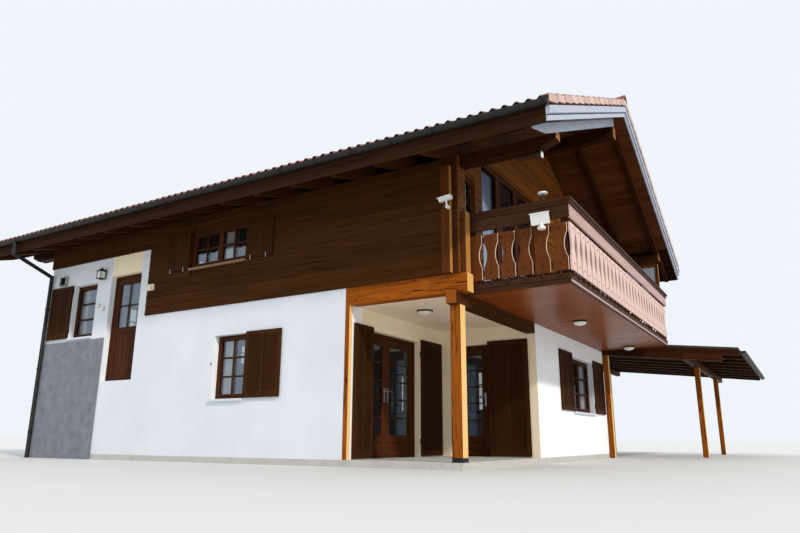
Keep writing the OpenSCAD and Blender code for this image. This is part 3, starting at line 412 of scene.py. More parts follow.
def plaster(name, base, grain=70.0, depth=0.004, stain=0.06, front=None):
    """Fine render in one tone, with another for the faces to the front where one is given: painted
    light on those faces.
    """
    look = Look(name, 0.9)
    base, front_light_colour = shades(base, front or base)
    # Painted light: faces to the front take the front colour, sunlight or warm bounce light.
    if front:
        base = look.mix(look.faces(TO_FRONT), base, front_light_colour)
    broad = look.noise(0.8, 5.0)
    fine = look.noise(grain, 5.0, 0.7)
    streaks = look.noise(1.0, 4.0, stretch=(3.0, 3.0, 0.35))
    dull = look.mix(1.0, base, dimmed(WHITE, 1 - stain * 2), "MULTIPLY")
    colour = look.mix(look.mask(broad, 0.35, 0.75), base, dull)
    colour = look.mix(look.scale(streaks, 0.0, stain), colour, (0.35, 0.33, 0.3, 1))
    look.fixed(Base_Color=colour)
    look.bump(fine, depth, 0.5)


def rough_stone(name, dark, light):
    look = Look(name, 0.92)
    dark, light = shades(dark, light)
    grains = look.node("ShaderNodeTexVoronoi", {"Vector": look.place, "Scale": 95.0})
    patches = look.noise(5.0, 6.0)
    look.fixed(Base_Color=look.mix(0.5, look.ramp(patches, 0.3, dark, 0.7, light),
                                   look.ramp(grains.outputs["Distance"], 0.1, light, 0.8, dark)))
    look.bump(grains.outputs["Distance"], 0.008, 0.8)


def clay(name, dark, light, tile, flip=False, soot=0.8, ends=None):
    """Fired clay: a tone for each tile, soot in patches, and painted shade on the lower ends where
    asked.
    """
    look = Look(name, 0.82)
    dark, light = shades(dark, light)
    soot_and_shade = dimmed(dark, 0.3)
    tone = look.cells(tile, TILE_START, flip)
    patches = look.noise(2.2, 6.0, 0.7)
    fine = look.noise(120.0, 4.0)
    colour = look.ramp(tone, 0.0, dark, 1.0, light)
    colour = look.mix(look.ramp(patches, 0.42, BLACK, 0.8, dimmed(WHITE, soot)), colour, soot_and_shade)
    colour = look.mix(0.15, colour, look.ramp(fine, 0.3, dark, 0.8, light))
    # Painted shade: faces that look to the given side, the tiles' lower ends, go almost to the soot
    # colour.
    if ends:
        colour = look.mix(look.faces(ends), colour, look.mix(0.1, soot_and_shade, colour))
    look.fixed(Base_Color=colour)
    look.bump(fine, 0.002, 0.5)


def metal(name, base, roughness=0.42, metallic=0.6):
    look = Look(name, roughness)
    base = shades(base)[0]
    broad = look.noise(2.5, 5.0)
    fine = look.noise(60.0, 3.0)
    colour = look.mix(look.mask(broad, 0.3, 0.7), base, dimmed(base, 0.75))
    look.fixed(Metallic=metallic, Base_Color=colour,
               Roughness=look.scale(fine, roughness - 0.07, roughness + 0.15))
    look.bump(fine, 0.0006, 0.3)


def paint(name, base, roughness=0.4):
    look = Look(name, roughness)
    base = shades(base)[0]
    broad = look.noise(3.0, 5.0)
    fine = look.noise(140.0, 3.0)
    look.fixed(Base_Color=look.mix(look.mask(broad, 0.3, 0.8), base, dimmed(base, 0.86)))
    look.bump(fine, 0.0008, 0.3)


def sill_stone(name, low, high):
    """Painted stone at the lower windows, a stained board at the one in the boarding."""
    look = Look(name, 0.55)
    low, high = shades(low, high)
    grain = look.noise(1.0, 4.0, stretch=(40, 6, 40))
    up = look.node("ShaderNodeSeparateXYZ", {0: look.place}).outputs["Z"]
    tenth = look.node("ShaderNodeMath", {0: up, 1: 0.1}, operation="MULTIPLY").outputs[0]
    which = look.mask(tenth, 0.31, 0.32)
    worn = look.mix(which, dimmed(low, 0.7), dimmed(high, 0.5))
    look.fixed(Base_Color=look.mix(look.scale(grain, 0.0, 0.25), look.mix(which, low, high), worn))
    look.bump(grain, 0.1, 0.002)


def glazing(name, tint, see_through):
    look = Look(name, 0.03)
    tint = shades(tint)[0]
    ripple = look.noise(1.6, 2.0)
    look.fixed(IOR=6.0, Specular_Tint=(0.72, 0.86, 1.0, 1), Alpha=see_through,
               Base_Color=look.ramp(ripple, 0.2, tint, 0.8, dimmed(tint, 1.5)))
    look.bump(ripple, 0.004, 0.15)


def cloth(name, base):
    look = Look(name, 0.9)
    base = shades(base)[0]
    weave = look.noise(1.0, 2.0, stretch=(260, 260, 30))
    look.fixed(Base_Color=look.ramp(weave, 0.2, dimmed(base, 0.8), 0.8, base), Sheen_Weight=0.3)
    look.bump(weave, 0.001, 0.4)


TILE_COURSE = 0.33
TILE_LIP = 0.06
ROLL = 0.163
TILE_Y = within(ROOF_Y, 0.05)
TILES_ALONG = round((TILE_Y[1] - TILE_Y[0]) / (2 * ROLL))
TILE_W = (TILE_Y[1] - TILE_Y[0]) / TILES_ALONG
TILE_START = (CORNER.x + EAVE_X - TILE_LIP - 0.008, CORNER.y + TILE_Y[0], -FAR_AWAY / 2)
TILE_CELL = (TILE_COURSE, TILE_W, FAR_AWAY)
COURSE_CELL = (TILE_COURSE, FAR_AWAY, FAR_AWAY)
ROW_CELL = (FAR_AWAY, FAR_AWAY, BOARD_ROW)
ROW_START = (-FAR_AWAY / 2, -FAR_AWAY / 2, CORNER.z + BOARDING_Z)
DECK_CELL = (DECK_BOARD, FAR_AWAY, FAR_AWAY)
CUT_CELL = (PITCH, PITCH, FAR_AWAY)
DOOR_CELL = (0.3, 0.3, FAR_AWAY)

# Where a wood below has a paler colour for one side, that colour is painted sunlight on the faces
# that look to the sun.
wood("stained_boards", (44, 24, 9), (84, 49, 20), "y", 0.6, 0.0, 0.02, ROW_CELL, ROW_START)
wood("stained_gable_boards", (80, 42, 12), (136, 80, 28), "x", 0.5, 0.08, 0.02, ROW_CELL, ROW_START)
wood("honey_beam_along", (116, 54, 10), (176, 94, 24), "y", 0.55, cracks=0.6, painted_sun_colour=(236, 184, 104))
wood("honey_beam_across", (48, 24, 8), (80, 44, 16), "x", 0.55, cracks=0.6, painted_sun_colour=(150, 80, 24),
     side=TO_NEAR_SIDE)
wood("honey_post", (116, 56, 10), (166, 92, 28), "z", 0.55, 0.0, 0.06, cracks=1.0,
     painted_sun_colour=(244, 202, 134))
wood("corner_board", (62, 31, 11), (100, 54, 22), "z", 0.5, 0.0, 0.03, cracks=0.6,
     painted_sun_colour=(190, 134, 72))
wood("dark_rafter", (40, 19, 7), (74, 38, 15), "x", board=(4.0, 0.4, 9.0), start=ZERO,
     painted_sun_colour=(70, 38, 18))
wood("dark_purlin", (36, 17, 6), (64, 33, 13), "y", 0.5, 0.0, 0.04, (0.5, 9.0, 9.0), cracks=0.5,
     painted_sun_colour=(158, 104, 62))
wood("varnished_soffit", (64, 31, 13), (112, 60, 28), "y", 0.35, 0.35, 0.03, DECK_CELL, ZERO)
# The deck boards under the eaves: a darker copy of the soffit boards without their coat, painted
# shade.
wood("dark_eave_boards", (26, 12, 5), (50, 25, 10), "y", 0.6, 0.0, 0.03, DECK_CELL, ZERO)
wood("varnished_balcony_soffit", (98, 44, 10), (150, 76, 26), "y", 0.3, 0.26, 0.03, DECK_CELL, ZERO)
# The barge boards' pale bluish colour is a painted reflection of the sky on dark boards.
wood("edge_board_painted_sky", (150, 158, 176), (186, 192, 206), "x", 0.45, 0.1, 0.02)
wood("dark_fascia", (36, 20, 10), (62, 36, 20), "y", 0.55, 0.0, 0.03)
wood("dark_rail", (44, 25, 15), (78, 47, 30), "y", 0.45, 0.05, 0.03)
# A pale copy of the rail's wood for the faces along the gable: painted sunlight.
wood("rail_along_the_gable", (158, 126, 118), (192, 162, 156), "x", 0.45, 0.08, 0.03)
wood("cut_board", (78, 40, 12), (118, 66, 26), "z", 0.5, 0.04, 0.03, CUT_CELL, ZERO,
     painted_sun_colour=(222, 192, 184))
wood("cut_board_sides", (74, 37, 12), (110, 60, 26), "z", 0.5, 0.04, 0.04, CUT_CELL,
     painted_sun_colour=(246, 220, 196))
# The pale colour on the flanks of the front boards' lenses is painted sunlight, so that they look as
# lit as the fronts.
wood("sawn_edge", (196, 162, 148), (224, 194, 182), "z", 0.6, 0.0, 0.0, CUT_CELL)
wood("shutter_wood", (42, 23, 9), (72, 41, 18), "z", 0.55, 0.0, 0.02, DOOR_CELL, ZERO)
wood("window_wood", (50, 25, 11), (84, 45, 22), "z", 0.5, 0.04, 0.02, DOOR_CELL, ZERO)

# Whites with painted light: a bluish tint for shade, a brighter white for sunlit faces, and a cream
# for warm bounce light in the loggia.
SHADE_TINTED_WHITE = (226, 230, 238)
SUNLIT_WHITE = (250, 252, 254)
BOUNCE_LIT_WHITE = (255, 238, 206)
plaster("white_render", SHADE_TINTED_WHITE, front=SUNLIT_WHITE)
plaster("loggia_render_corner", SHADE_TINTED_WHITE, front=BOUNCE_LIT_WHITE)
plaster("loggia_render_front", BOUNCE_LIT_WHITE, front=SUNLIT_WHITE)
plaster("loggia_render", BOUNCE_LIT_WHITE)
# The ceiling's warm cream is partly the board's own tan and partly painted warm bounce light.
plaster("loggia_ceiling", (255, 230, 204), 60.0, 0.002)
plaster("pale_floor", (214, 214, 212), 3.0, 0.001, 0.01)
rough_stone("grey_rough_render", (98, 103, 114), (146, 150, 160))
rough_stone("concrete", (176, 174, 168), (208, 206, 200))

TILE_RED = ((126, 72, 56), (164, 102, 82))
clay("clay_tiles", *TILE_RED, TILE_CELL, ends=TO_NEAR_SIDE)
clay("clay_tiles_far_slope", *TILE_RED, TILE_CELL, True, ends=TO_FAR_SIDE)
clay("ridge_tiles", *TILE_RED, TILE_CELL)
# The verge tiles are a paler copy of the roof's clay: painted sunlight on the verge.
clay("verge_tiles", (184, 150, 138), (212, 184, 174), COURSE_CELL, soot=0.25)

metal("anthracite_sheet", (24, 22, 22), 0.6, 0.1)
metal("black_iron", (30, 30, 32), 0.5)
metal("bright_steel", (190, 192, 194), 0.3, 0.9)
metal("bronze_tube", (112, 76, 44), 0.4, 0.7)
metal("dark_grey_cover", (60, 56, 54), 0.6, 0.2)
paint("white_enamel", (236, 236, 232), 0.35)
paint("cream_plastic", (232, 222, 190))
paint("screen_panel", (206, 211, 222), 0.5)
paint("grey_enamel", (176, 176, 172))
paint("opal_glass", (240, 236, 222), 0.2)
glazing("window_glass", (34, 42, 52), 0.28)
cloth("curtain", (240, 240, 238))
cloth("curtain_in_blue_light", (214, 230, 255))
sill_stone("sill_stone", (212, 218, 230), (134, 100, 68))

# Foot of the hinge, turn about it, mirrored or not, width and height
HINGED = {
    "shutter_french_left": ((0.644, 1.9, 0.115), 180, False, 0.52, 2.04),
    "shutter_french_right": ((2.216, 1.9, 0.115), 180, True, 0.77, 2.04),
    "shutter_loggia_door": ((3.03, 0.924, 0.115), 90, True, 0.77, 2.04),
    "shutter_gable_left": ((5.094, 0.0, 0.955), 180, False, 0.7787, 1.16),
    "shutter_gable_right": ((6.686, 0.0, 0.955), 180, True, 0.7787, 1.16),
    "shutter_side_window": ((0.0, 4.034, 1.055), 90, True, 0.78, 1.11),
    "shutter_hall_window": ((0.0, 9.186, 2.425), 90, False, 0.74, 1.14),
}

CAD_LOOKS = {
    "concrete": "floor_slab entrance_floor",
    "loggia_ceiling": "upper_floor",
    "white_render": "side_wall_front side_wall_rear far_side_wall rear_wall gable_wall_lower",
    "loggia_render_corner": "loggia_pier_left",
    "loggia_render_front": "loggia_pier_front",
    "loggia_render": "loggia_pier_corner door_lintels",
    "grey_rough_render": "plinth_render",
    "honey_post": "posts",
    "honey_beam_along": "side_beam",
    "honey_beam_across": "cross_beam",
    "stained_boards": "side_boarding",
    "stained_gable_boards": "gable_boarding",
    "corner_board": "corner_boards wind_screen",
    "dark_purlin": "purlins canopy_rafters",
    "dark_rafter": "rafters canopy_beams",
    "varnished_soffit": "roof_deck",
    "clay_tiles": "roof_tiles",
    "ridge_tiles": "ridge_tiles",
    "edge_board_painted_sky": "roof_edge_boards",
    "anthracite_sheet": "gutters",
    "dark_rail": "balcony_frame balcony_deck balcony_rail",
    "varnished_balcony_soffit": "balcony_soffit",
    "cut_board": "balusters_front balusters_sides",
    "window_wood": "window_frames entrance_frame entrance_door loggia_door_frames loggia_door"
                   " french_leaf_left french_leaf_right",
    "window_glass": "window_glass",
    "sill_stone": "window_sills",
    "shutter_wood": "fixed_shutters " + " ".join(HINGED),
    "black_iron": "shutter_hinges",
    "white_enamel": "fittings",
    "dark_grey_cover": "canopy_roof",
}


def dress_all():
    """Gives each CAD node its look."""
    for look, nodes in CAD_LOOKS.items():
        for node in nodes.split():
            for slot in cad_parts[node].material_slots:
                slot.material = looks[look]


# Boarded walls, whose holes are (start, end, lower edge, upper edge)

UPPER_WINDOW = (4.14, 5.58, 3.47, 4.18)
REAR_TOP_WINDOW = (RIDGE_X - 0.5, RIDGE_X + 0.5, 4.48, 5.28)
GLAZING = [(0.2, 0.55, 2.92, 4.29)] + [(0.81 + 0.79 * i, 1.6 + 0.79 * i, 2.66, 4.78)
                                       for i in range(3)]
GLAZING += [(HOUSE_W - b, HOUSE_W - a, z0, z1) for a, b, z0, z1 in GLAZING]
OUTERMOST = [GLAZING[i] for i in (0, 1, 4, 5)]
SHORTEST = 0.02
LOWEST_ROW = 0.01
ROOM_AT_RIDGE = 0.03
FILLER_T = 0.02


def rows_between(low, high):
    """The board rows that cover a height, counted from the boarding's lower edge."""
    first = math.floor((low - BOARDING_Z) / BOARD_ROW + 1e-6)
    rows = []
    z = BOARDING_Z + first * BOARD_ROW
    while z < high - LOWEST_ROW:
        rows.append((max(z, low), min(z + BOARD_ROW, high)))
        z += BOARD_ROW
    return rows


def without_holes(span, z, holes):
    """Cuts the holes that a row meets out of its span."""
    spans = [span]
    for low, high, z0, z1 in holes:
        if z[1] <= z0 + SHORTEST or z[0] >= z1 - SHORTEST:
            continue
        cut = []
        for a, b in spans:
            cut += [(a, min(b, low))] if a < low else []
            cut += [(max(a, high), b)] if b > high else []
        spans = cut
    return [s for s in spans if s[1] - s[0] > SHORTEST]


def shiplap(shape, left, right, z):
    """One board in local X and Z, thicker at its lower edge, on a wall that faces local +Y."""
    joint = 0.014
    joint_depth = 0.016
    upper_t = BOARD_T - 0.007
    rings = []
    for end, height, t in ((0, z[0], BOARD_T - joint_depth), (0, z[0] + joint, BOARD_T),
                           (1, z[1], upper_t)):
        rings.append([(left[end], 0.0, height), (right[end], 0.0, height),
                      (right[end], t, height), (left[end], t, height)])
    shape.hexa(rings[0], rings[1])
    shape.hexa(rings[1], rings[2])


def side_boards(shape):
    """A boarded side wall: the boards, cut for the window, and the core behind them."""
    soffit_z = rafter_under(-BOARD_T)
    for span, low in (((0.0, REAR_PART_Y), BOARDING_Z), ((REAR_PART_Y, HOUSE_L), REAR_MASONRY_Z)):
        for z in rows_between(low, soffit_z):
            for a, b in without_holes(span, z, [UPPER_WINDOW]):
                shiplap(shape, (a, a), (b, b), z)
    sill, head = UPPER_WINDOW[2:]
    for span, levels in (((TIMBER_WALL_T, REAR_PART_Y), (BOARDING_Z, sill, head, KNEE_TOP_Z)),
                         ((REAR_PART_Y, REAR_WALL_END), (REAR_MASONRY_Z, KNEE_TOP_Z))):
        for z in zip(levels, levels[1:]):
            for a, b in without_holes(span, z, [UPPER_WINDOW]):
                shape.block((a, b), (-TIMBER_WALL_T, 0.0), z)
    shape.block((TIMBER_WALL_T, REAR_WALL_END), (-FILLER_T, 0.0), (KNEE_TOP_Z, soffit_z))


def gable_cuts(z, holes, outermost):
    """What the holes and the rafters leave of a strip, as (lower, upper) left and right ends."""
    left = [max((height - RAFTER_FOOT_Z) / SLOPE, outermost) for height in z]
    right = [HOUSE_W - x for x in left]
    for a, b in without_holes((left[0], right[0]), z, holes):
        yield left if a == left[0] else (a, a), right if b == right[0] else (b, b)


def gable_boards(shape, low, holes):
    """The boards and the core of one gable, from a height up to the rafters."""
    top = rafter_under(RIDGE_X)
    for z in rows_between(low, top - ROOM_AT_RIDGE):
        for left, right in gable_cuts(z, holes, -BOARD_T):
            shiplap(shape, left, right, z)
    levels = sorted({low, top, RAFTER_FOOT_Z} | {z for hole in holes for z in hole[2:]})
    for z in zip(levels, levels[1:]):
        if z[1] > low:
            for left, right in gable_cuts(z, holes, 0.0):
                shape.prism([(left[0], z[0]), (right[0], z[0]), (right[1], z[1]),
                             (left[1], z[1])], "y", (-TIMBER_WALL_T, 0.0))


def boarded_walls():
    side = Shape()
    for wall in (NEAR, FAR):
        side_boards(side.under(wall))
    side.make("side_boards", "stained_boards", stands_for=["side_boarding"])
    gable = Shape().under(GABLE)
    gable_boards(gable, BOARDING_Z, GLAZING)
    gable.block((TIMBER_WALL_T, HOUSE_W), (-TIMBER_WALL_T, 0.0), (CEILING_Z, BOARDING_Z))
    gable_boards(gable.under(REAR), REAR_MASONRY_Z, [REAR_TOP_WINDOW])
    gable.make("gable_boards", "stained_gable_boards", stands_for=["gable_boarding"])


# Roof

DECK_Y = within(ROOF_Y, 2 * BARGE_T)
TILE_STEP = 0.022
TILE_LAP = 0.03
TILE_SINK = 0.032
TILE_THICK = 0.013
ROLL_H = 0.04
ROLL_SHARE = 0.62
ROLL_POINTS = 7
VERGE_OUT = 0.015
RIDGE_CUT = 0.02
RIDGE_TILE_L = 0.36
SHORTEST_COURSE = 0.05
UNEVEN_HEIGHT = 0.002
UNEVEN_PLACE = 0.004
BATTEN_LAYER = TILE_BUILD_UP - 0.06


def along_slope(start, low, high, end=RIDGE_X):
    """An outline along the slope, between two heights over the roof boarding."""
    return [(start, deck_top(start) + low), (end, deck_top(end) + low),
            (end, deck_top(end) + high), (start, deck_top(start) + high)]


def deck_boards():
    """Tongued boards under the tiles, with an open groove between them on the underside."""
    shape = Shape()
    ends = (EAVE_X, RIDGE_X - RIDGE_JOINT)
    count = round((ends[1] - ends[0]) / DECK_BOARD)
    for side in BOTH_SIDES:
        # Boards outside the house take the second look, the darker copy: painted shade under the
        # eaves.
        shape.under(side).grooved_boards(ends, count, rafter_top, deck_top, "y", DECK_Y,
                                         outer_slot=1)
    shape.make("roof_boards", "varnished_soffit dark_eave_boards", stands_for=["roof_deck"])


def tile_profile():
    """One tile across: two rolls with flat pans between, as (distance, height) points."""
    points = []
    for roll in range(2):
        for i in range(ROLL_POINTS):
            t = i / (ROLL_POINTS - 1)
            points.append(((roll + t * ROLL_SHARE) * ROLL, ROLL_H * math.sin(math.pi * t)))
    points.append((2 * ROLL, 0.0))
    return points


def tile_courses():
    """The lower and upper edge of each course, from the eave to the ridge."""
    courses = []
    x = EAVE_X - TILE_LIP
    while x < RIDGE_X - SHORTEST_COURSE:
        courses.append((x, min(x + TILE_COURSE, RIDGE_X - RIDGE_CUT)))
        x += TILE_COURSE
    return courses


def tiled_slope(name, side, look, stands_for):
    """Single tiles in courses, each laid a little unevenly, over the battens' layer."""
    shape = Shape().under(side)
    profile = tile_profile()
    n = len(profile)
    faces = []
    for k in range(n - 1):
        far = 2 * n - 1 - k
        faces.append((k + 1, far - 1, far, k))
        faces.append((2 * n + far, 2 * n + far - 1, 2 * n + k + 1, 2 * n + k))
    for k in range(2 * n):
        j = (k + 1) % (2 * n)
        faces.append((2 * n + k, 2 * n + j, j, k))
    for low, high in tile_courses():
        for i in range(TILES_ALONG):
            y0 = TILE_Y[0] + i * TILE_W
            lift = random.uniform(-UNEVEN_HEIGHT, UNEVEN_HEIGHT)
            nudge = random.uniform(-UNEVEN_PLACE, UNEVEN_PLACE)
            top = []
            for x, rise in ((low + nudge, TILE_STEP), (high + TILE_LAP, 0.0)):
                z = tile_top(x) + rise - TILE_SINK + lift
                top.append([(x, y0 + d * TILE_W / (2 * ROLL), z + h) for d, h in profile])
            ring = top[0] + top[1][::-1]
            shape.add(ring + [(x, y, z - TILE_THICK) for x, y, z in ring], faces)
    shape.prism(along_slope(EAVE_X, 0.0, BATTEN_LAYER, RIDGE_X - RIDGE_JOINT), "y", DECK_Y)
    shape.make(name, look, stands_for=stands_for)


def verge_tiles():
    """The tiles over both barge boards: a flange on the roof and a flap down over the board."""
    shape = Shape()
    flange = 0.13
    flap = 0.1
    thick = 0.016
    for side in BOTH_SIDES:
        shape.under(side)
        for edge, inwards in ((FRONT_Y - VERGE_OUT, 1), (REAR_Y + VERGE_OUT, -1)):
            for low, high in tile_courses():
                high += TILE_LAP
                lid = [(low, tile_top(low) + TILE_STEP + 0.012), (high, tile_top(high) + 0.004)]
                for depth, drop in ((flange, thick), (thick, thick + flap)):
                    shape.prism([(x, z - drop) for x, z in lid] + lid[::-1], "y",
                                sorted((edge, edge + inwards * depth)))
    shape.make("verge_tiles", "verge_tiles", edge=0.006)


def ridge_row():
    """Half-round tiles along the ridge, each a little wider at the end that covers the next."""
    shape = Shape()
    radius = 0.115
    collar_r = radius + 0.008
    tail_r = radius - 0.006
    collar = 0.05
    lap = 0.01
    wall = 0.016
    steps = 14
    whole = REAR_Y - FRONT_Y + 2 * VERGE_OUT
    count = round(whole / RIDGE_TILE_L)
    length = whole / count
    centre = (RIDGE_X, tile_top(RIDGE_X) - RIDGE_CUT)
    turns = [math.pi * (1.06 * k / steps - 0.03) for k in range(steps + 1)]
    for i in range(count):
        a = FRONT_Y - VERGE_OUT + i * length
        rings = []
        for y, r in ((a, collar_r), (a + collar, collar_r), (a + collar, radius),
                     (a + length + lap, tail_r)):
            outline = arc(r, turns, centre) + arc(r - wall, turns[::-1], centre)
            rings.append([(x, y, z) for x, z in outline])
        shape.hexa(rings[0], rings[1])
        shape.hexa(rings[2], rings[3])
    shape.make("ridge_row", "ridge_tiles", smooth=True, stands_for=["ridge_tiles"])


def roof():
    deck_boards()
    tiled_slope("tiles_near", NO_TURN, "clay_tiles", ["roof_tiles"])
    tiled_slope("tiles_far", MIRROR, "clay_tiles_far_slope", ["roof_tiles"])
    verge_tiles()
    ridge_row()


# Roof edges

FASCIA_H = 0.28
FASCIA_Z = rafter_top(EAVE_X) - RAFTER_TIP_H + 0.025
GUTTER_R = 0.065
GUTTER_X = EAVE_X - BARGE_T - GUTTER_R
GUTTER_Z = FASCIA_Z + FASCIA_H - 0.015
BRACKET_PITCH = 0.66
GUTTER_LENGTH = 4.2
PIPE_R = 0.041
STRAP_R = 0.047
STRAP_H = 0.04


def edge_boards():
    """Two barge boards on each side of both gables, and the two-strip fascia at the eaves."""
    pale = Shape()
    dark = Shape()
    start = EAVE_X - BARGE_T
    seam = BARGE_RISE - 0.115
    strips = ((seam + 0.006, BARGE_RISE, 0), (seam - 0.09, seam, 1), (0.025, BARGE_RISE, 1))
    ends = within(DECK_Y, -SEAT)
    seam_z = FASCIA_Z + 0.13
    for side in BOTH_SIDES:
        pale.under(side)
        dark.under(side)
        for y, inwards in ((FRONT_Y, BARGE_T), (REAR_Y, -BARGE_T)):
            for low, high, layer in strips:
                pale.prism(along_slope(start, low, high), "y",
                           sorted((y + inwards * layer, y + inwards * (layer + 1))))
        dark.block((start, EAVE_X), ends, (seam_z + 0.005, FASCIA_Z + FASCIA_H))
        dark.block((start + 0.008, EAVE_X), ends, (FASCIA_Z, seam_z))
        dark.block((start + 0.014, EAVE_X - 0.004), ends, about(seam_z, 0.01))
    # A thin pale sheet on the outermost rafter's front face, on the near slope only: a painted
    # reflection of the sky.
    taper_x = EAVE_X + RAFTER_TAPER
    face_y = FRONT_Y + PURLIN_BACK
    under_deck = 0.002
    face = [(EAVE_X, rafter_top(EAVE_X) - RAFTER_TIP_H), (taper_x, rafter_under(taper_x)),
            (RIDGE_X, rafter_under(RIDGE_X)), (RIDGE_X, rafter_top(RIDGE_X) - under_deck),
            (EAVE_X, rafter_top(EAVE_X) - under_deck)]
    pale.under(NO_TURN).prism(face, "y", (face_y - 0.006, face_y))
    pale.make("barge_boards", "edge_board_painted_sky", edge=0.004, stands_for=["roof_edge_boards"])
    dark.make("eave_fascia", "dark_fascia", edge=0.004, stands_for=["roof_edge_boards"])


def gutter_irons():
    """Brackets round the gutters, the joints between their lengths and the pipe straps."""
    shape = Shape()
    bands = [(FRONT_Y + 0.25 + i * BRACKET_PITCH, GUTTER_R + 0.004, 0.028) for i in range(20)]
    bands += [(FRONT_Y + 0.02 + i * GUTTER_LENGTH, GUTTER_R + 0.002, 0.06) for i in range(4)]
    pipe = (-0.065, HOUSE_L - 0.065)
    strap = [(PIPE_R, 0), (STRAP_R, 0), (STRAP_R, STRAP_H), (PIPE_R, STRAP_H)]
    for side in BOTH_SIDES:
        shape.under(side)
        for y, radius, width in bands:
            band(shape, y, radius, width)
        for z in (0.5, 1.8, 3.1):
            pin_z = z + STRAP_H / 2
            shape.lathe(strap, (*pipe, z), 24)
            shape.rod((-0.025, pipe[1], pin_z), (0.02, pipe[1], pin_z), 0.008)
    shape.make("gutter_brackets", "black_iron")


def band(shape, y, radius, width):
    """A thin half ring under the gutter."""
    steps = 14
    thick = 0.0025
    turns = [math.pi * (1 + i / steps) for i in range(steps + 1)]
    outer, inner = [arc(r, turns, (GUTTER_X, GUTTER_Z)) for r in (radius, radius - thick)]
    for i in range(steps):
        shape.prism([outer[i], outer[i + 1], inner[i + 1], inner[i]], "y", (y, y + width))


# Balcony

BALCONY_X = (0.23, HOUSE_W - 0.23)
BALCONY_Y = -1.53
EDGE_T = 0.03
INNER_X = within(BALCONY_X, EDGE_T)
INNER_Y = BALCONY_Y + EDGE_T
SOFFIT_TOP = CEILING_Z + 0.025
RIM_Z = CEILING_Z - 0.01
JOIST_TOP = CEILING_Z + 0.135
FLOOR_TOP = CEILING_Z + 0.17
CAP_TOP = FLOOR_TOP + 1.02
CAP_Z = CAP_TOP - 0.07
BALUSTER_W = 0.214
BALUSTER_T = 0.028
BALUSTER_H = 0.67
SOFFIT_BOARDS = 74
FLOOR_BOARDS = 12
SIDE_BALUSTERS = 6

# Profiles round the balcony, as (outwards, height) points
HANDRAIL = [(-0.075, 0), (0.05, 0), (0.055, 0.022), (0.075, 0.026), (0.075, 0.06), (0.066, 0.07),
            (-0.066, 0.07), (-0.075, 0.06)]
COVE = [(0.0, -0.03), (0.046, -0.03), (0.05, -0.02), (0.05, 0.0), (0.0, 0.0)]
APRON = [(0.0, -0.215), (0.026, -0.215), (0.034, -0.2), (0.034, -0.036), (0.028, -0.03),
         (0.0, -0.03)]


def round_the_balcony(shape, profile, base_z=0.0, start_y=-BOARD_T, front=0):
    """Sweeps a profile along the three open sides, mitred, with a slot for the front."""
    rings = []
    for x, out_x, y, out_y in ((BALCONY_X[0], -1, start_y, 0), (BALCONY_X[0], -1, BALCONY_Y, -1),
                               (BALCONY_X[1], 1, BALCONY_Y, -1), (BALCONY_X[1], 1, start_y, 0)):
        rings.append([(x + out_x * o, y + out_y * o, base_z + z) for o, z in profile])
    for i, (first, last) in enumerate(zip(rings, rings[1:])):
        shape.hexa(first[::-1], last[::-1], front if i == 1 else 0)


def strip(low, high, outer=0.0):
    return [(-EDGE_T, low), (outer, low), (outer, high), (-EDGE_T, high)]


def balcony():
    """The handrail, the edge boards with the joists, the floor and the underside."""
    rail = Shape()
    bar = 0.08
    # The apron's front takes the second look, the rail's pale copy: painted sunlight.
    for profile, front in ((HANDRAIL, 0), (strip(-bar, 0.0), 0), (COVE, 0), (APRON, 1)):
        round_the_balcony(rail, profile, CAP_Z, front=front)
    for low in (0.06, BALUSTER_H - 0.11):
        round_the_balcony(rail, strip(low, low + bar), FLOOR_TOP)
    first, last = edges(INNER_X, bar)
    for x in (first, about(RIDGE_X, bar / 2), last):
        rail.block(x, (INNER_Y, INNER_Y + bar), (FLOOR_TOP, CAP_Z))
    rail.make("balcony_handrail", "dark_rail rail_along_the_gable", edge=0.004,
              stands_for=["balcony_rail"])

    edge_board = Shape()
    rim_h = JOIST_TOP - RIM_Z
    # One strip's front takes the second look, the rail's pale copy: painted sunlight.
    for low, high, outer, front in ((0.0, 0.03, -0.005, 0), (0.03, 0.062, 0.0, 1),
                                    (0.062, 0.07, -0.01, 0), (0.07, rim_h, 0.0, 0)):
        round_the_balcony(edge_board, strip(low, high, outer), RIM_Z, 0.0, front)
    joist = 0.1
    first, last = edges(INNER_X, joist)
    for x in (first[0], *divisions((first[0], last[0]), 7), last[0]):
        edge_board.block((x, x + joist), (INNER_Y, 0.0), (SOFFIT_TOP, JOIST_TOP))
    edge_board.make("balcony_edge", "dark_rail rail_along_the_gable", edge=0.003,
                    stands_for=["balcony_frame"])

    floor = Shape()
    rows = parts((INNER_Y, -BOARD_T), FLOOR_BOARDS)
    for y in [(a, b - GROOVE) for a, b in rows[:-1]] + rows[-1:]:
        floor.block(INNER_X, y, (JOIST_TOP, FLOOR_TOP))
    floor.make("balcony_floor", "dark_rail", edge=0.003, stands_for=["balcony_deck"])

    soffit = Shape()
    soffit.grooved_boards(INNER_X, SOFFIT_BOARDS, lambda x: CEILING_Z, lambda x: SOFFIT_TOP,
                          "y", (INNER_Y, 0.0))
    soffit.make("balcony_underside", "varnished_balcony_soffit", stands_for=["balcony_soffit"])


def baluster_outline():
    """Half widths up a board whose long edges are each cut by a lens."""
    depth = 0.044
    height = 0.36
    middle = BALUSTER_H * 0.54
    radius = (height * height / 4 + depth * depth) / (2 * depth)
    half = BALUSTER_W / 2
    points = [(half - 0.004, 0.0), (half, 0.006)]
    steps = 14
    for i in range(steps + 1):
        z = middle - height / 2 + i * height / steps
        cut = math.sqrt(radius * radius - (z - middle) ** 2) - (radius - depth)
        points.append((half - max(cut, 0.0), z))
    points += [(half, BALUSTER_H - 0.006), (half - 0.004, BALUSTER_H)]
    return points + [(-a, z) for a, z in points[::-1]]


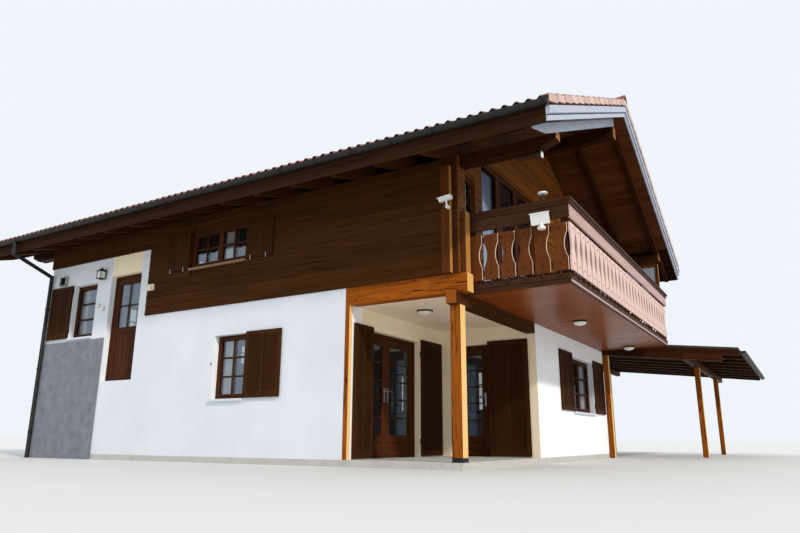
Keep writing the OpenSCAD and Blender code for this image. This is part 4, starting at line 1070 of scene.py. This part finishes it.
def balcony_boards():
    """The cut boards along the front and both sides, with their feet and screws."""
    outline = baluster_outline()
    front = Shape()
    side = Shape()
    feet = Shape()
    screws = Shape()
    first = BALCONY_X[0] - BALUSTER_T + PITCH / 2
    count = int((BALCONY_X[1] - BALCONY_X[0] + 2 * BALUSTER_T) / PITCH)
    places = [facing((first + i * PITCH, BALCONY_Y, FLOOR_TOP), (1, 0, 0), (0, -1, 0))
              for i in range(count)]
    for m in places:
        # The second look, on the outline's sides, is the pale edge colour: painted sunlight.
        front.under(m).prism(outline, "y", (0.0, BALUSTER_T), 0, 1)
    for x, along, out in ((BALCONY_X[0], 1, -1), (BALCONY_X[1], -1, 1)):
        for i in range(SIDE_BALUSTERS):
            m = facing((x, BALCONY_Y + (i + 0.5) * PITCH, FLOOR_TOP), (0, along, 0), (out, 0, 0))
            side.under(m).prism(outline, "y", (0.0, BALUSTER_T))
            places.append(m)
    for m in places:
        feet.under(m).block(about(0.0, 0.016), (SEAT, 0.022), (JOIST_TOP - FLOOR_TOP - 0.03, 0.02))
        screws.under(m)
        for z in (0.1, 0.6):
            screws.rod((0.0, 0.02, z), (0.0, BALUSTER_T + 0.004, z), 0.013, 12)
    front.make("balcony_boards_front", "cut_board sawn_edge", edge=0.003,
               stands_for=["balusters_front"])
    side.make("balcony_boards_sides", "cut_board_sides", edge=0.003,
              stands_for=["balusters_sides"])
    feet.make("balcony_board_feet", "dark_rail")
    screws.make("balcony_screws", "black_iron")


# Shutters

SHUTTER_T = 0.032
SHUTTER_GAP = 0.01
PIN_OUT = 0.0083
STILE = 0.075
HALF_STILE = 0.022
SLAT_PITCH = 0.031
NARROW_STILE = 0.16
STRAP_L = 0.044
STRAP_W = 0.032
STRAP_PROUD = 0.004

# Window openings as (start, end, lower edge, upper edge)
SIDE_WINDOW = (4.04, 4.81, 1.05, 2.15)
FAR_WINDOWS = [(2.6, 3.37, 1.05, 2.15), (4.9, 5.67, 1.05, 2.15)]
HALL_WINDOW = (8.38, 9.18, 2.42, 3.55)
GABLE_WINDOW = (5.1, 6.68, 0.95, 2.05)


def turned(x, y, z, turn, mirrored=False):
    m = Matrix.Translation((x, y, z)) @ Matrix.Rotation(math.radians(turn), 4, "Z")
    return m @ Matrix.Scale(-1, 4, (1, 0, 0)) if mirrored else m


def louvres(shape, x, y, z):
    """A frame with a middle stile and two columns of sloping slats, in local coordinates."""
    stile = min(STILE, (x[1] - x[0]) * NARROW_STILE)
    middle = about((x[0] + x[1]) / 2, HALF_STILE)
    inner = within(x, stile)
    height = (z[0] + STILE + 0.02, z[1] - STILE)
    for span in edges(x, stile):
        shape.block(span, y, z)
    shape.block(middle, within(y, 0.002), within(z, STILE))
    for span in ((z[0], height[0]), (height[1], z[1])):
        shape.block(inner, within(y, 0.001), span)
    for low, high in parts(height, int((height[1] - height[0]) / SLAT_PITCH)):
        slat = [(y[0] + 0.012, high - 0.004), (y[1] - 0.005, low), (y[1] - 0.003, low + 0.008),
                (y[0] + 0.012, high + 0.006)]
        for span in ((inner[0], middle[0]), (middle[1], inner[1])):
            shape.prism(slat, "x", span)


def hinged_shutters():
    """The louvred leaves, each with two hinge straps and their pins."""
    front = SHUTTER_GAP + SHUTTER_T
    strap_x = (PIN_OUT + 0.001, PIN_OUT + 0.001 + STRAP_L)
    pin_x = PIN_OUT + 0.03
    for node, (place, turn, mirrored, w, h) in HINGED.items():
        m = turned(*place, turn, mirrored)
        leaf = Shape().under(m)
        louvres(leaf, (PIN_OUT, PIN_OUT + w), (SHUTTER_GAP, front), (0.0, h))
        leaf.make(node + "_louvres", "shutter_wood", body=node, edge=0.002, stands_for=[node])
        straps = Shape().under(m)
        for share in (0.1, 0.85):
            z = h * share + 0.03
            pin_z = z + STRAP_W / 2
            straps.block(strap_x, (front - SEAT, front + STRAP_PROUD), (z, z + STRAP_W))
            straps.rod((pin_x, front, pin_z), (pin_x, front + 0.007, pin_z), 0.007, 10)
        straps.make(node + "_ironwork", "black_iron", body=node, edge=0.001)


def boarded_shutter(shape, iron, x, z):
    """Three upright boards on two battens, held open by two small bright hooks."""
    rail = 0.07
    stile = 0.06
    hook = 0.007
    for board in parts(x, 3):
        shape.block(within(board, 0.002), (0.0, SHUTTER_T - 0.006), within(z, 0.02))
    shape.block(within(x, 0.01), (0.0, SHUTTER_T - 0.014), within(z, 0.03))
    for span in edges(z, rail):
        shape.block(x, (0.0, SHUTTER_T), span)
    for span in edges(x, stile):
        shape.block(span, (0.0, SHUTTER_T), within(z, rail))
    y = SHUTTER_T + 0.016
    for a in within(x, 0.12):
        iron.rod((a, 0.0, z[0] - 0.02), (a, SHUTTER_T + 0.02, z[0] - 0.02), hook, 10)
        iron.rod((a, y, z[0] - 0.045), (a, y, z[0] + 0.04), hook, 10)


def fixed_shutters():
    """The boarded pairs at the upper windows, and the louvred ones on the far side."""
    shape = Shape()
    iron = Shape()
    gap = 0.01
    boarded_w = 0.6
    for wall in (NEAR, FAR):
        m = wall @ Matrix.Translation((0, BOARD_T, 0))
        shape.under(m)
        iron.under(m)
        for a in (UPPER_WINDOW[0] - gap - boarded_w, UPPER_WINDOW[1] + gap):
            boarded_shutter(shape, iron, (a, a + boarded_w), UPPER_WINDOW[2:])
    shape.under(FAR)
    for (a, _, *z), w in ((FAR_WINDOWS[0], 0.77), (FAR_WINDOWS[1], 0.77), (HALL_WINDOW, 0.8)):
        louvres(shape, (a - gap - w, a - gap), (0.0, SHUTTER_T), z)
    shape.make("standing_shutters", "shutter_wood", edge=0.002, stands_for=["fixed_shutters"])
    iron.make("shutter_hooks", "bright_steel")


# Windows

REVEAL = 0.11
TIMBER_REVEAL = 0.03
PAIR = [(0.04, 0.2), (0.8, 0.96)]
SASH = 0.026
SASH_LAP = 0.012
HALF_BAR = 0.013
DRAPE_BACK = 0.105

# Wall, opening, reveal, bays, columns and rows of panes, curtains as shares of the width, and
# the curtains' slot where it isn't the first
WINDOWS = [
    (NEAR, SIDE_WINDOW, REVEAL, 1, 2, 3, [(0.5, 0.93)]),
    (NEAR, HALL_WINDOW, REVEAL, 1, 1, 3, [(0.08, 0.32), (0.68, 0.92)]),
    (NEAR, UPPER_WINDOW, TIMBER_REVEAL, 2, 2, 2, [(0.27, 0.48)]),
    *((FAR, opening, REVEAL, 1, 2, 3, [(0.06, 0.36), (0.64, 0.94)]) for opening in FAR_WINDOWS),
    (FAR, HALL_WINDOW, REVEAL, 1, 2, 3, [(0.06, 0.36)]),
    (FAR, UPPER_WINDOW, TIMBER_REVEAL, 2, 2, 2, [(0.04, 0.26)]),
    (GABLE, GABLE_WINDOW, REVEAL, 2, 1, 3, [(0.04, 0.22), (0.78, 0.96)]),
]
WINDOWS += [(GABLE, opening, TIMBER_REVEAL, 1, 1, 1,
             [(0.06, 0.94 if opening in OUTERMOST else 0.34)], 1) for opening in GLAZING]
WINDOWS += [
    *((REAR, (HOUSE_W - x - 0.72, HOUSE_W - x + 0.72, *HALL_WINDOW[2:]), REVEAL, 2, 2, 3, PAIR)
      for x in (2.22, 5.42)),
    (REAR, REAR_TOP_WINDOW, TIMBER_REVEAL, 1, 2, 2, ()),
]


def window(shape, soft, wall, opening, depth, bays, columns, rows, curtains, cool=0):
    """Sashes, bars on both sides of the glass, and curtains of one window."""
    shape.under(wall)
    soft.under(wall)
    a, b, *height = opening
    z = within(height, FRAME_W)
    tall = within(z, -SASH_LAP)
    outside = (-depth - 0.023, 0.009 - depth)
    inside = (-depth - FRAME_D - 0.009, -depth - 0.047)
    pane_w = (b - a - (bays + 1) * FRAME_W) / bays
    for i in range(bays):
        x0 = a + FRAME_W + i * (pane_w + FRAME_W)
        x = (x0, x0 + pane_w)
        inner = within(x, SASH)
        for y in (outside, inside):
            for span in ((x[0] - SASH_LAP, inner[0]), (inner[1], x[1] + SASH_LAP)):
                shape.block(span, y, tall)
            for span in ((tall[0], z[0] + SASH), (z[1] - SASH, tall[1])):
                shape.block(inner, y, span)
            for bar in divisions(x, columns):
                shape.block(about(bar, HALF_BAR), within(y, 0.001), within(z, SASH))
            for bar in divisions(z, rows):
                shape.block(inner, within(y, 0.002), about(bar, HALF_BAR - 0.001))
    for low, high in curtains:
        drape(soft, a + low * (b - a), a + high * (b - a), within(height, 0.03),
              -depth - DRAPE_BACK, cool)


def drape(shape, x0, x1, z, y, slot):
    """A hanging curtain in folds."""
    cloth_t = 0.002
    steps = max(8, int((x1 - x0) / 0.012))
    line = []
    for i in range(steps + 1):
        x = x0 + (x1 - x0) * i / steps
        line.append((x, y + 0.018 * math.sin(x * 95.0) + 0.007 * math.sin(x * 41.0)))
    for (xa, ya), (xb, yb) in zip(line, line[1:]):
        shape.prism([(xa, ya), (xb, yb), (xb, yb + cloth_t), (xa, ya + cloth_t)], "z", z, slot)


def windows():
    shape = Shape()
    soft = Shape()
    for row in WINDOWS:
        window(shape, soft, *row)
    shape.make("window_sashes", "window_wood", edge=0.002)
    soft.make("curtains", "curtain curtain_in_blue_light", smooth=True)


# Doors

DOOR_T = 0.06
DOOR_STILE = 0.095
HANDLE_Z = 1.06
LOCK_Z = HANDLE_Z - 0.12
PLATE_Z = (HANDLE_Z - 0.18, HANDLE_Z + 0.06)
GRIP_OUT = 0.042
GRIP_L = 0.1
GRIP_R = 0.009

# Depths in a leaf, from its outer face: boards and what is behind them, the plain panel and its
# raised field, the bars on both sides of the pane, and the pane
BOARDS_Y = (-0.044, -0.016)
BACKING_Y = (-0.036, -0.024)
PANEL_Y = (-0.042, -0.018)
FIELD_Y = (-0.05, -0.01)
BARS_Y = ((-0.056, -0.039), (-0.021, -0.004))
PANE_Y = (-0.038, -0.022)


def door_leaf(node, body, m, w, h, panel_top, columns, rows):
    """A leaf with a lower panel, a glazed upper part with bars, and lever handles."""
    shape = Shape().under(m)
    inner = (DOOR_STILE, w - DOOR_STILE)
    panel = (DOOR_STILE, panel_top)
    glass = (panel_top + DOOR_STILE, h - DOOR_STILE)
    bead = 0.02
    joint = 0.005
    for a in (0.0, inner[1]):
        shape.block((a, a + DOOR_STILE), (-DOOR_T, 0.0), (0.0, h))
    for low in (0.0, panel_top, glass[1]):
        shape.block(inner, (-DOOR_T, 0.0), (low, low + DOOR_STILE))
    if panel_top > 0.5:
        for a, b in parts(inner, 5):
            shape.block((a, b - joint), BOARDS_Y, panel)
        shape.block(inner, BACKING_Y, panel)
    else:
        shape.block(inner, PANEL_Y, panel)
        shape.block(within(inner, 0.03), FIELD_Y, within(panel, 0.03))
    for y in BARS_Y:
        for span in edges(inner, bead):
            shape.block(span, y, glass)
        for span in edges(glass, bead):
            shape.block(inner, y, span)
        for bar in divisions(inner, columns):
            shape.block(about(bar, 0.014), y, glass)
        for bar in divisions(glass, rows):
            shape.block(inner, within(y, 0.001), about(bar, 0.011))
    shape.block((0.02, w - 0.02), (-DOOR_T - 0.016, SEAT - DOOR_T), (0.03, 0.075))
    shape.make(node + "_woodwork", "window_wood", body=body, edge=0.003, stands_for=[node])
    pane = Shape().under(m)
    pane.block(inner, PANE_Y, glass)
    pane.make(node + "_glass", "window_glass", body=body, stands_for=[node])
    handles = Shape().under(m)
    x = w - DOOR_STILE / 2
    for y, out in ((-DOOR_T, -1), (0.0, 1)):
        grip_y = y + out * GRIP_OUT
        handles.block(about(x, 0.018), sorted((y, y + out * 0.004)), PLATE_Z)
        handles.rod((x, y, HANDLE_Z), (x, grip_y, HANDLE_Z), GRIP_R)
        handles.rod((x + 0.008, grip_y, HANDLE_Z), (x - GRIP_L, grip_y, HANDLE_Z), GRIP_R)
        handles.rod((x, y, LOCK_Z), (x, y + out * 0.008, LOCK_Z), 0.014)
    handles.make(node + "_handles", "bright_steel", body=body, edge=0.001)


def doors():
    """The entrance door, the loggia's single door and the two leaves of its double door."""
    inner_face = 0.18
    leaf_edge = 0.066
    lift = 0.01
    hall_z = 1.48 + lift
    low_z = FLOOR_Z + lift
    low = (1.934, 0.24, 1, 5)
    door_leaf("entrance_door", "entrance_door_leaf",
              turned(inner_face, 7.93 - leaf_edge, hall_z, -90), 0.808, 2.064, 0.9494, 2, 2)
    door_leaf("loggia_door", "loggia_door_leaf",
              turned(LOGGIA_W + inner_face, 1.71 - leaf_edge, low_z, -90), 0.648, *low)
    door_leaf("french_leaf_left", "french_leaf_left",
              turned(0.65 + leaf_edge, LOGGIA_D + inner_face, low_z, 0), 0.541, *low)
    door_leaf("french_leaf_right", "french_leaf_right",
              turned(2.21 - leaf_edge, LOGGIA_D + inner_face, low_z, 0, True), 0.881, *low)


# Lamps and small things on the walls; the pale shape's slots are in the order of PALE_LOOKS

PALE_LOOKS = "opal_glass cream_plastic white_enamel grey_enamel bronze_tube"
OPAL, CREAM, ENAMEL, GREY, BRONZE = range(5)
CEILING_LAMPS = [(LOGGIA_W * 0.33, LOGGIA_D * 0.59), (LOGGIA_W + 0.19, BALCONY_Y / 2),
                 (BALCONY_X[1] - 0.39, BALCONY_Y / 2)]


def fittings():
    iron = Shape()
    pale = Shape()
    rim = [(0.09, -0.026), (0.126, -0.026), (0.13, -0.02), (0.13, 0.0), (0.06, 0.0)]
    turns = [math.pi / 2 * (1 - i / 10) for i in range(11)]
    dome = [(max(0.119 * math.cos(a), 0.001), -0.016 - 0.066 * math.sin(a)) for a in turns]
    for place in CEILING_LAMPS:
        iron.lathe(rim, (*place, CEILING_Z), 40)
        pale.lathe(dome, (*place, CEILING_Z), 40, OPAL)
    lantern(iron, pale)
    vent(iron, pale)
    bell(iron, pale)
    for y, z in ((8.25, 3.04), (8.09, 2.96)):
        pale.rod((SEAT, y, z), (-0.012, y, z), 0.045, 28, GREY)
        pale.rod((-0.011, y, z), (-0.02, y, z), 0.028, 28, CREAM)
    iron.rod((SEAT, 4.842, 1.66), (-0.018, 4.842, 1.66), 0.012, 20)
    lookout_camera(iron, pale)
    flood_light(pale)
    saucer_lamp(iron, pale)
    purlin_light(iron, pale)
    iron.make("lamp_rims", "black_iron", edge=0.001, stands_for=["fittings"])
    pale.make("lamp_globes", PALE_LOOKS, smooth=True, stands_for=["fittings"])


def lantern(iron, pale):
    """A square iron lantern with a pitched cap on a wall arm."""
    x = -0.09
    y = 8.17
    w = 0.06
    bar = 0.005
    iron.block((-0.012, SEAT), about(y, 0.03), (3.64, 3.8))
    iron.rod((-0.01, y, 3.76), (x, y, 3.78), 0.008)
    iron.rod((x, y, 3.79), (x, y, 3.84), 0.007)
    for z, r in ((3.58, w + 0.008), (3.735, w + 0.012)):
        iron.block(about(x, r), about(y, r), (z, z + 0.012))
    for a in about(x, w):
        for b in about(y, w):
            iron.block(about(a, bar), about(b, bar), (3.59, 3.74))
    corners = ((-1, -1), (1, -1), (1, 1), (-1, 1))
    iron.hexa([(x + 0.07 * a, y + 0.07 * b, 3.747) for a, b in corners],
              [(x + 0.015 * a, y + 0.015 * b, 3.81) for a, b in corners])
    iron.rod((x, y, 3.56), (x, y, 3.585), 0.012)
    pale.block(about(x, w - 0.006), about(y, w - 0.006), (3.594, 3.734), OPAL)


def vent(iron, pale):
    """A louvred outlet in the upper wall, in a grey frame."""
    y = (9.46, 9.69)
    z = (3.6, 3.8)
    frame_x = (-0.055, -0.01)
    rim = 0.015
    iron.block((-0.012, SEAT), y, z)
    for i in range(7):
        low = z[0] + 0.016 + i * 0.026
        iron.prism([(-0.05, low), (-0.046, low + 0.003), (-0.008, low + 0.024),
                    (-0.012, low + 0.02)], "y", within(y, rim))
    for span in edges(y, rim):
        pale.block(frame_x, span, z, GREY)
    for span in edges(z, rim - 0.003):
        pale.block(frame_x, y, span, GREY)


def bell(iron, pale):
    """The bell box on the boards, with its button and sound slots."""
    x = -BOARD_T
    pale.block((x - 0.036, x + SEAT), (6.53, 6.71), (3.17, 3.29), CREAM)
    for i in range(5):
        z = 3.196 + i * 0.014
        iron.block((x - 0.0375, x - 0.034), (6.56, 6.62), (z, z + 0.004))
    pale.rod((x - 0.035, 6.67, 3.23), (x - 0.04, 6.67, 3.23), 0.014, 24, ENAMEL)


def lookout_camera(iron, pale):
    """A small camera on the corner board that looks along the side."""
    face = -CORNER_PROUD
    x = face - 0.06
    y = 0.1
    z = BOARDING_Z + 0.97
    pale.rod((face, y, z), (x, y, z), 0.028, 24, ENAMEL)
    pale.rod((x + 0.002, y, z - 0.01), (x, y + 0.01, z + 0.1), 0.014, 16, ENAMEL)
    m = Matrix.Translation((x, y + 0.02, z + 0.12)) @ Matrix.Rotation(-0.12, 4, "X")
    pale.under(m)
    pale.block(about(0, 0.03), about(0, 0.1), (-0.03, 0.028), ENAMEL)
    pale.block(about(0, 0.036), (-0.09, 0.125), (0.028, 0.036), ENAMEL)
    pale.under(NO_TURN)
    iron.under(m).rod((0, 0.099, 0), (0, 0.106, 0), 0.022, 20)
    iron.under(NO_TURN)


def flood_light(pale):
    """A square lamp with a sensor below it on the balcony's side."""
    x = BALCONY_X[0] - BALUSTER_T - 0.006
    y = BALCONY_Y + 0.35
    z = CAP_Z - 0.21
    sensor = [(0.04, 0.0), (0.056, -0.004), (0.06, -0.02), (0.05, -0.04), (0.02, -0.046)]
    pale.block((x - 0.03, x + SEAT), about(y, 0.05), (z - 0.03, z + 0.07), ENAMEL)
    pale.under(Matrix.Translation((x - 0.08, y, z)) @ Matrix.Rotation(-0.3, 4, "Y"))
    pale.block(about(0, 0.045), about(0, 0.12), about(0, 0.08), ENAMEL)
    pale.block(about(0, 0.055), about(0, 0.128), (0.075, 0.088), ENAMEL)
    pale.under(NO_TURN)
    pale.rod((x - 0.08, y - 0.02, z - 0.06), (x - 0.09, y - 0.02, z - 0.13), 0.03, 20, ENAMEL)
    pale.lathe(sensor, (x - 0.09, y - 0.02, z - 0.12), 32, ENAMEL)


def saucer_lamp(iron, pale):
    """A flat lamp on a short stem on the handrail."""
    x = BALCONY_X[0]
    y = BALCONY_Y + 0.33
    foot = CAP_TOP - 0.002
    saucer = [(0.02, 0.0), (0.06, 0.002), (0.07, 0.012), (0.068, 0.026), (0.05, 0.033), (0.01, 0.036)]
    iron.rod((x, y, foot), (x, y, CAP_TOP + 0.11), 0.01, 14)
    iron.rod((x, y, foot), (x, y, CAP_TOP + 0.012), 0.03, 20)
    pale.lathe(saucer, (x, y, CAP_TOP + 0.109), 36, ENAMEL)


def purlin_light(iron, pale):
    """A bar under the eave purlin, held by two hangers, with a pale end."""
    z = KNEE_TOP_Z
    for y in (-1.24, -0.95):
        iron.block((0.08, 0.12), (y, y + 0.03), (z - 0.05, z + 0.002))
    pale.block((0.07, 0.13), (-1.26, -0.9), (z - 0.1, z - 0.05), BRONZE)
    pale.block((0.064, 0.136), (-1.272, -1.258), (z - 0.115, z - 0.035), ENAMEL)


# Canopy, corner boards, wind screen and beam joints

COVER_T = 0.03
SEAM_W = 0.02
SEAM_TOP = DECK_T + 0.045
CORNER_BOARD_W = 0.15
CANOPY_X = (HOUSE_W + BOARD_T + 0.01, HOUSE_W + BOARD_T + 7.21)
CANOPY_Y = (-2.9, 1.6)


def canopy_z(y):
    return 2.27 + 0.11 * (y - CANOPY_Y[0])


def canopy():
    """Boards under the canopy's cover, and the cover with its seams."""
    deck = Shape()
    deck.grooved_boards(CANOPY_Y, 40, canopy_z, lambda y: canopy_z(y) + DECK_T, "x", CANOPY_X,
                        0.005)
    deck.make("canopy_boards", "dark_rafter", stands_for=["canopy_roof"])
    cover = Shape()
    first, last = edges(within(CANOPY_X, 0.012), SEAM_W)
    places = [first[0], *divisions((first[0], last[0]), 12), last[0]]
    strips = [(CANOPY_X, DECK_T, DECK_T + COVER_T)]
    strips += [((x, x + SEAM_W), 0.05, SEAM_TOP) for x in places]
    for span, low, high in strips:
        cover.prism([(y, canopy_z(y) + low) for y in CANOPY_Y]
                    + [(y, canopy_z(y) + high) for y in CANOPY_Y[::-1]], "x", span)
    cover.make("canopy_cover", "dark_grey_cover", edge=0.003, stands_for=["canopy_roof"])


def corner_boards():
    """Two upright boards at each gable corner: the one on the gable ends at the handrail."""
    shape = Shape()
    proud = (-CORNER_PROUD, -BOARD_T)
    for side in BOTH_SIDES:
        shape.under(side)
        shape.block(proud, (0.09, 0.09 + CORNER_BOARD_W), (BOARDING_Z, KNEE_TOP_Z))
        shape.block((0.0, CORNER_BOARD_W), proud, (BOARDING_Z, CAP_TOP))
    shape.make("gable_corner_boards", "corner_board", edge=0.004, stands_for=["corner_boards"])


def wind_screen():
    """White panels in the wind screen at the balcony's far end, over both sides of its panes."""
    low, high = [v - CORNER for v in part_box("wind_screen")]
    panel = Shape()
    x = about((low.x + high.x) / 2, 0.016)
    rail_z = low.z + (high.z - low.z) * 0.35
    for z in ((low.z + FRAME_W, rail_z), (rail_z + FRAME_W, high.z - FRAME_W)):
        panel.block(x, within((low.y, high.y), FRAME_W), z)
    panel.make("wind_screen_panels", "screen_panel", edge=0.002)


def joinery():
    """Bolts where the loggia's beams meet the post, and the iron shoe at the post's foot."""
    iron = Shape()
    shoe = (-0.003, 0.163)
    bolt = 0.009
    for y in (0.05, 0.11):
        iron.rod((-0.001, y, 2.33), (-0.012, y, 2.33), 0.011, 8)
    for x in (0.05, 0.11):
        iron.rod((x, 0.001, 2.5), (x, -0.01, 2.5), bolt, 8)
    for y in (0.3, 1.2, 1.8):
        for z in (2.47, 2.64):
            iron.rod((0.001, y, z), (-0.009, y, z), bolt, 8)
    iron.block(shoe, shoe, (FLOOR_Z, 0.16))
    iron.make("beam_bolts", "black_iron")


# Camera and light

FLOOR_REACH = about(0.0, 600.0)


def camera():
    """Stands where the photograph was taken from, low at the near front corner."""
    data = bpy.data.cameras.new("camera")
    data.sensor_width = 36.0
    data.lens = 29.49
    data.clip_end = 300.0
    view = added("camera", data)
    turn = Matrix.Rotation(math.radians(-58.80), 4, "Z")
    tilt = Matrix.Rotation(math.radians(90 + 14.754), 4, "X")
    roll = Matrix.Rotation(math.radians(0.236), 4, "Z")
    place = CORNER + Vector((-8.164, -3.955, 0.401))
    view.matrix_world = Matrix.Translation(place) @ turn @ tilt @ roll
    bpy.context.scene.camera = view


def stage():
    """A plain pale floor and one soft sun from the front."""
    ground = Shape()
    ground.block(FLOOR_REACH, FLOOR_REACH, (-0.02, 0.0))
    floor = ground.build("floor", "pale_floor")
    sun = bpy.data.lights.new("sun", "SUN")
    sun.energy = 2.1
    sun.angle = math.radians(3)
    sun.color = (1.0, 0.95, 0.87)
    lamp = added("sun", sun)
    lamp.rotation_euler = Vector((0.33, 0.78, -0.53)).to_track_quat("-Z", "Y").to_euler()
    bpy.context.scene.view_settings.view_transform = "Standard"


def sky():
    """One colour lights the house, and another is seen behind it, in glass and in reflections."""
    world = bpy.data.worlds.new("sky")
    bpy.context.scene.world = world
    world.use_nodes = True
    tree = world.node_tree
    light = tree.nodes["Background"]
    seen = tree.nodes.new("ShaderNodeBackground")
    for node, colour in ((light, (0.92, 0.96, 1.0, 1)), (seen, (0.86, 0.91, 0.96, 1))):
        node.inputs["Color"].default_value = colour
        node.inputs["Strength"].default_value = 1.0
    rays = tree.nodes.new("ShaderNodeLightPath")
    direct = rays.outputs["Is Camera Ray"]
    for ray in ("Is Glossy Ray", "Is Transmission Ray"):
        either = tree.nodes.new("ShaderNodeMath")
        either.operation = "MAXIMUM"
        tree.links.new(direct, either.inputs[0])
        tree.links.new(rays.outputs[ray], either.inputs[1])
        direct = either.outputs[0]
    mix = tree.nodes.new("ShaderNodeMixShader")
    for start, end in zip((direct, light.outputs[0], seen.outputs[0]), mix.inputs):
        tree.links.new(start, end)
    tree.links.new(mix.outputs[0], tree.nodes["World Output"].inputs["Surface"])


camera()
stage()
sky()
dress_all()
boarded_walls()
roof()
edge_boards()
gutter_irons()
balcony()
balcony_boards()
hinged_shutters()
fixed_shutters()
windows()
doors()
fittings()
canopy()
corner_boards()
wind_screen()
joinery()
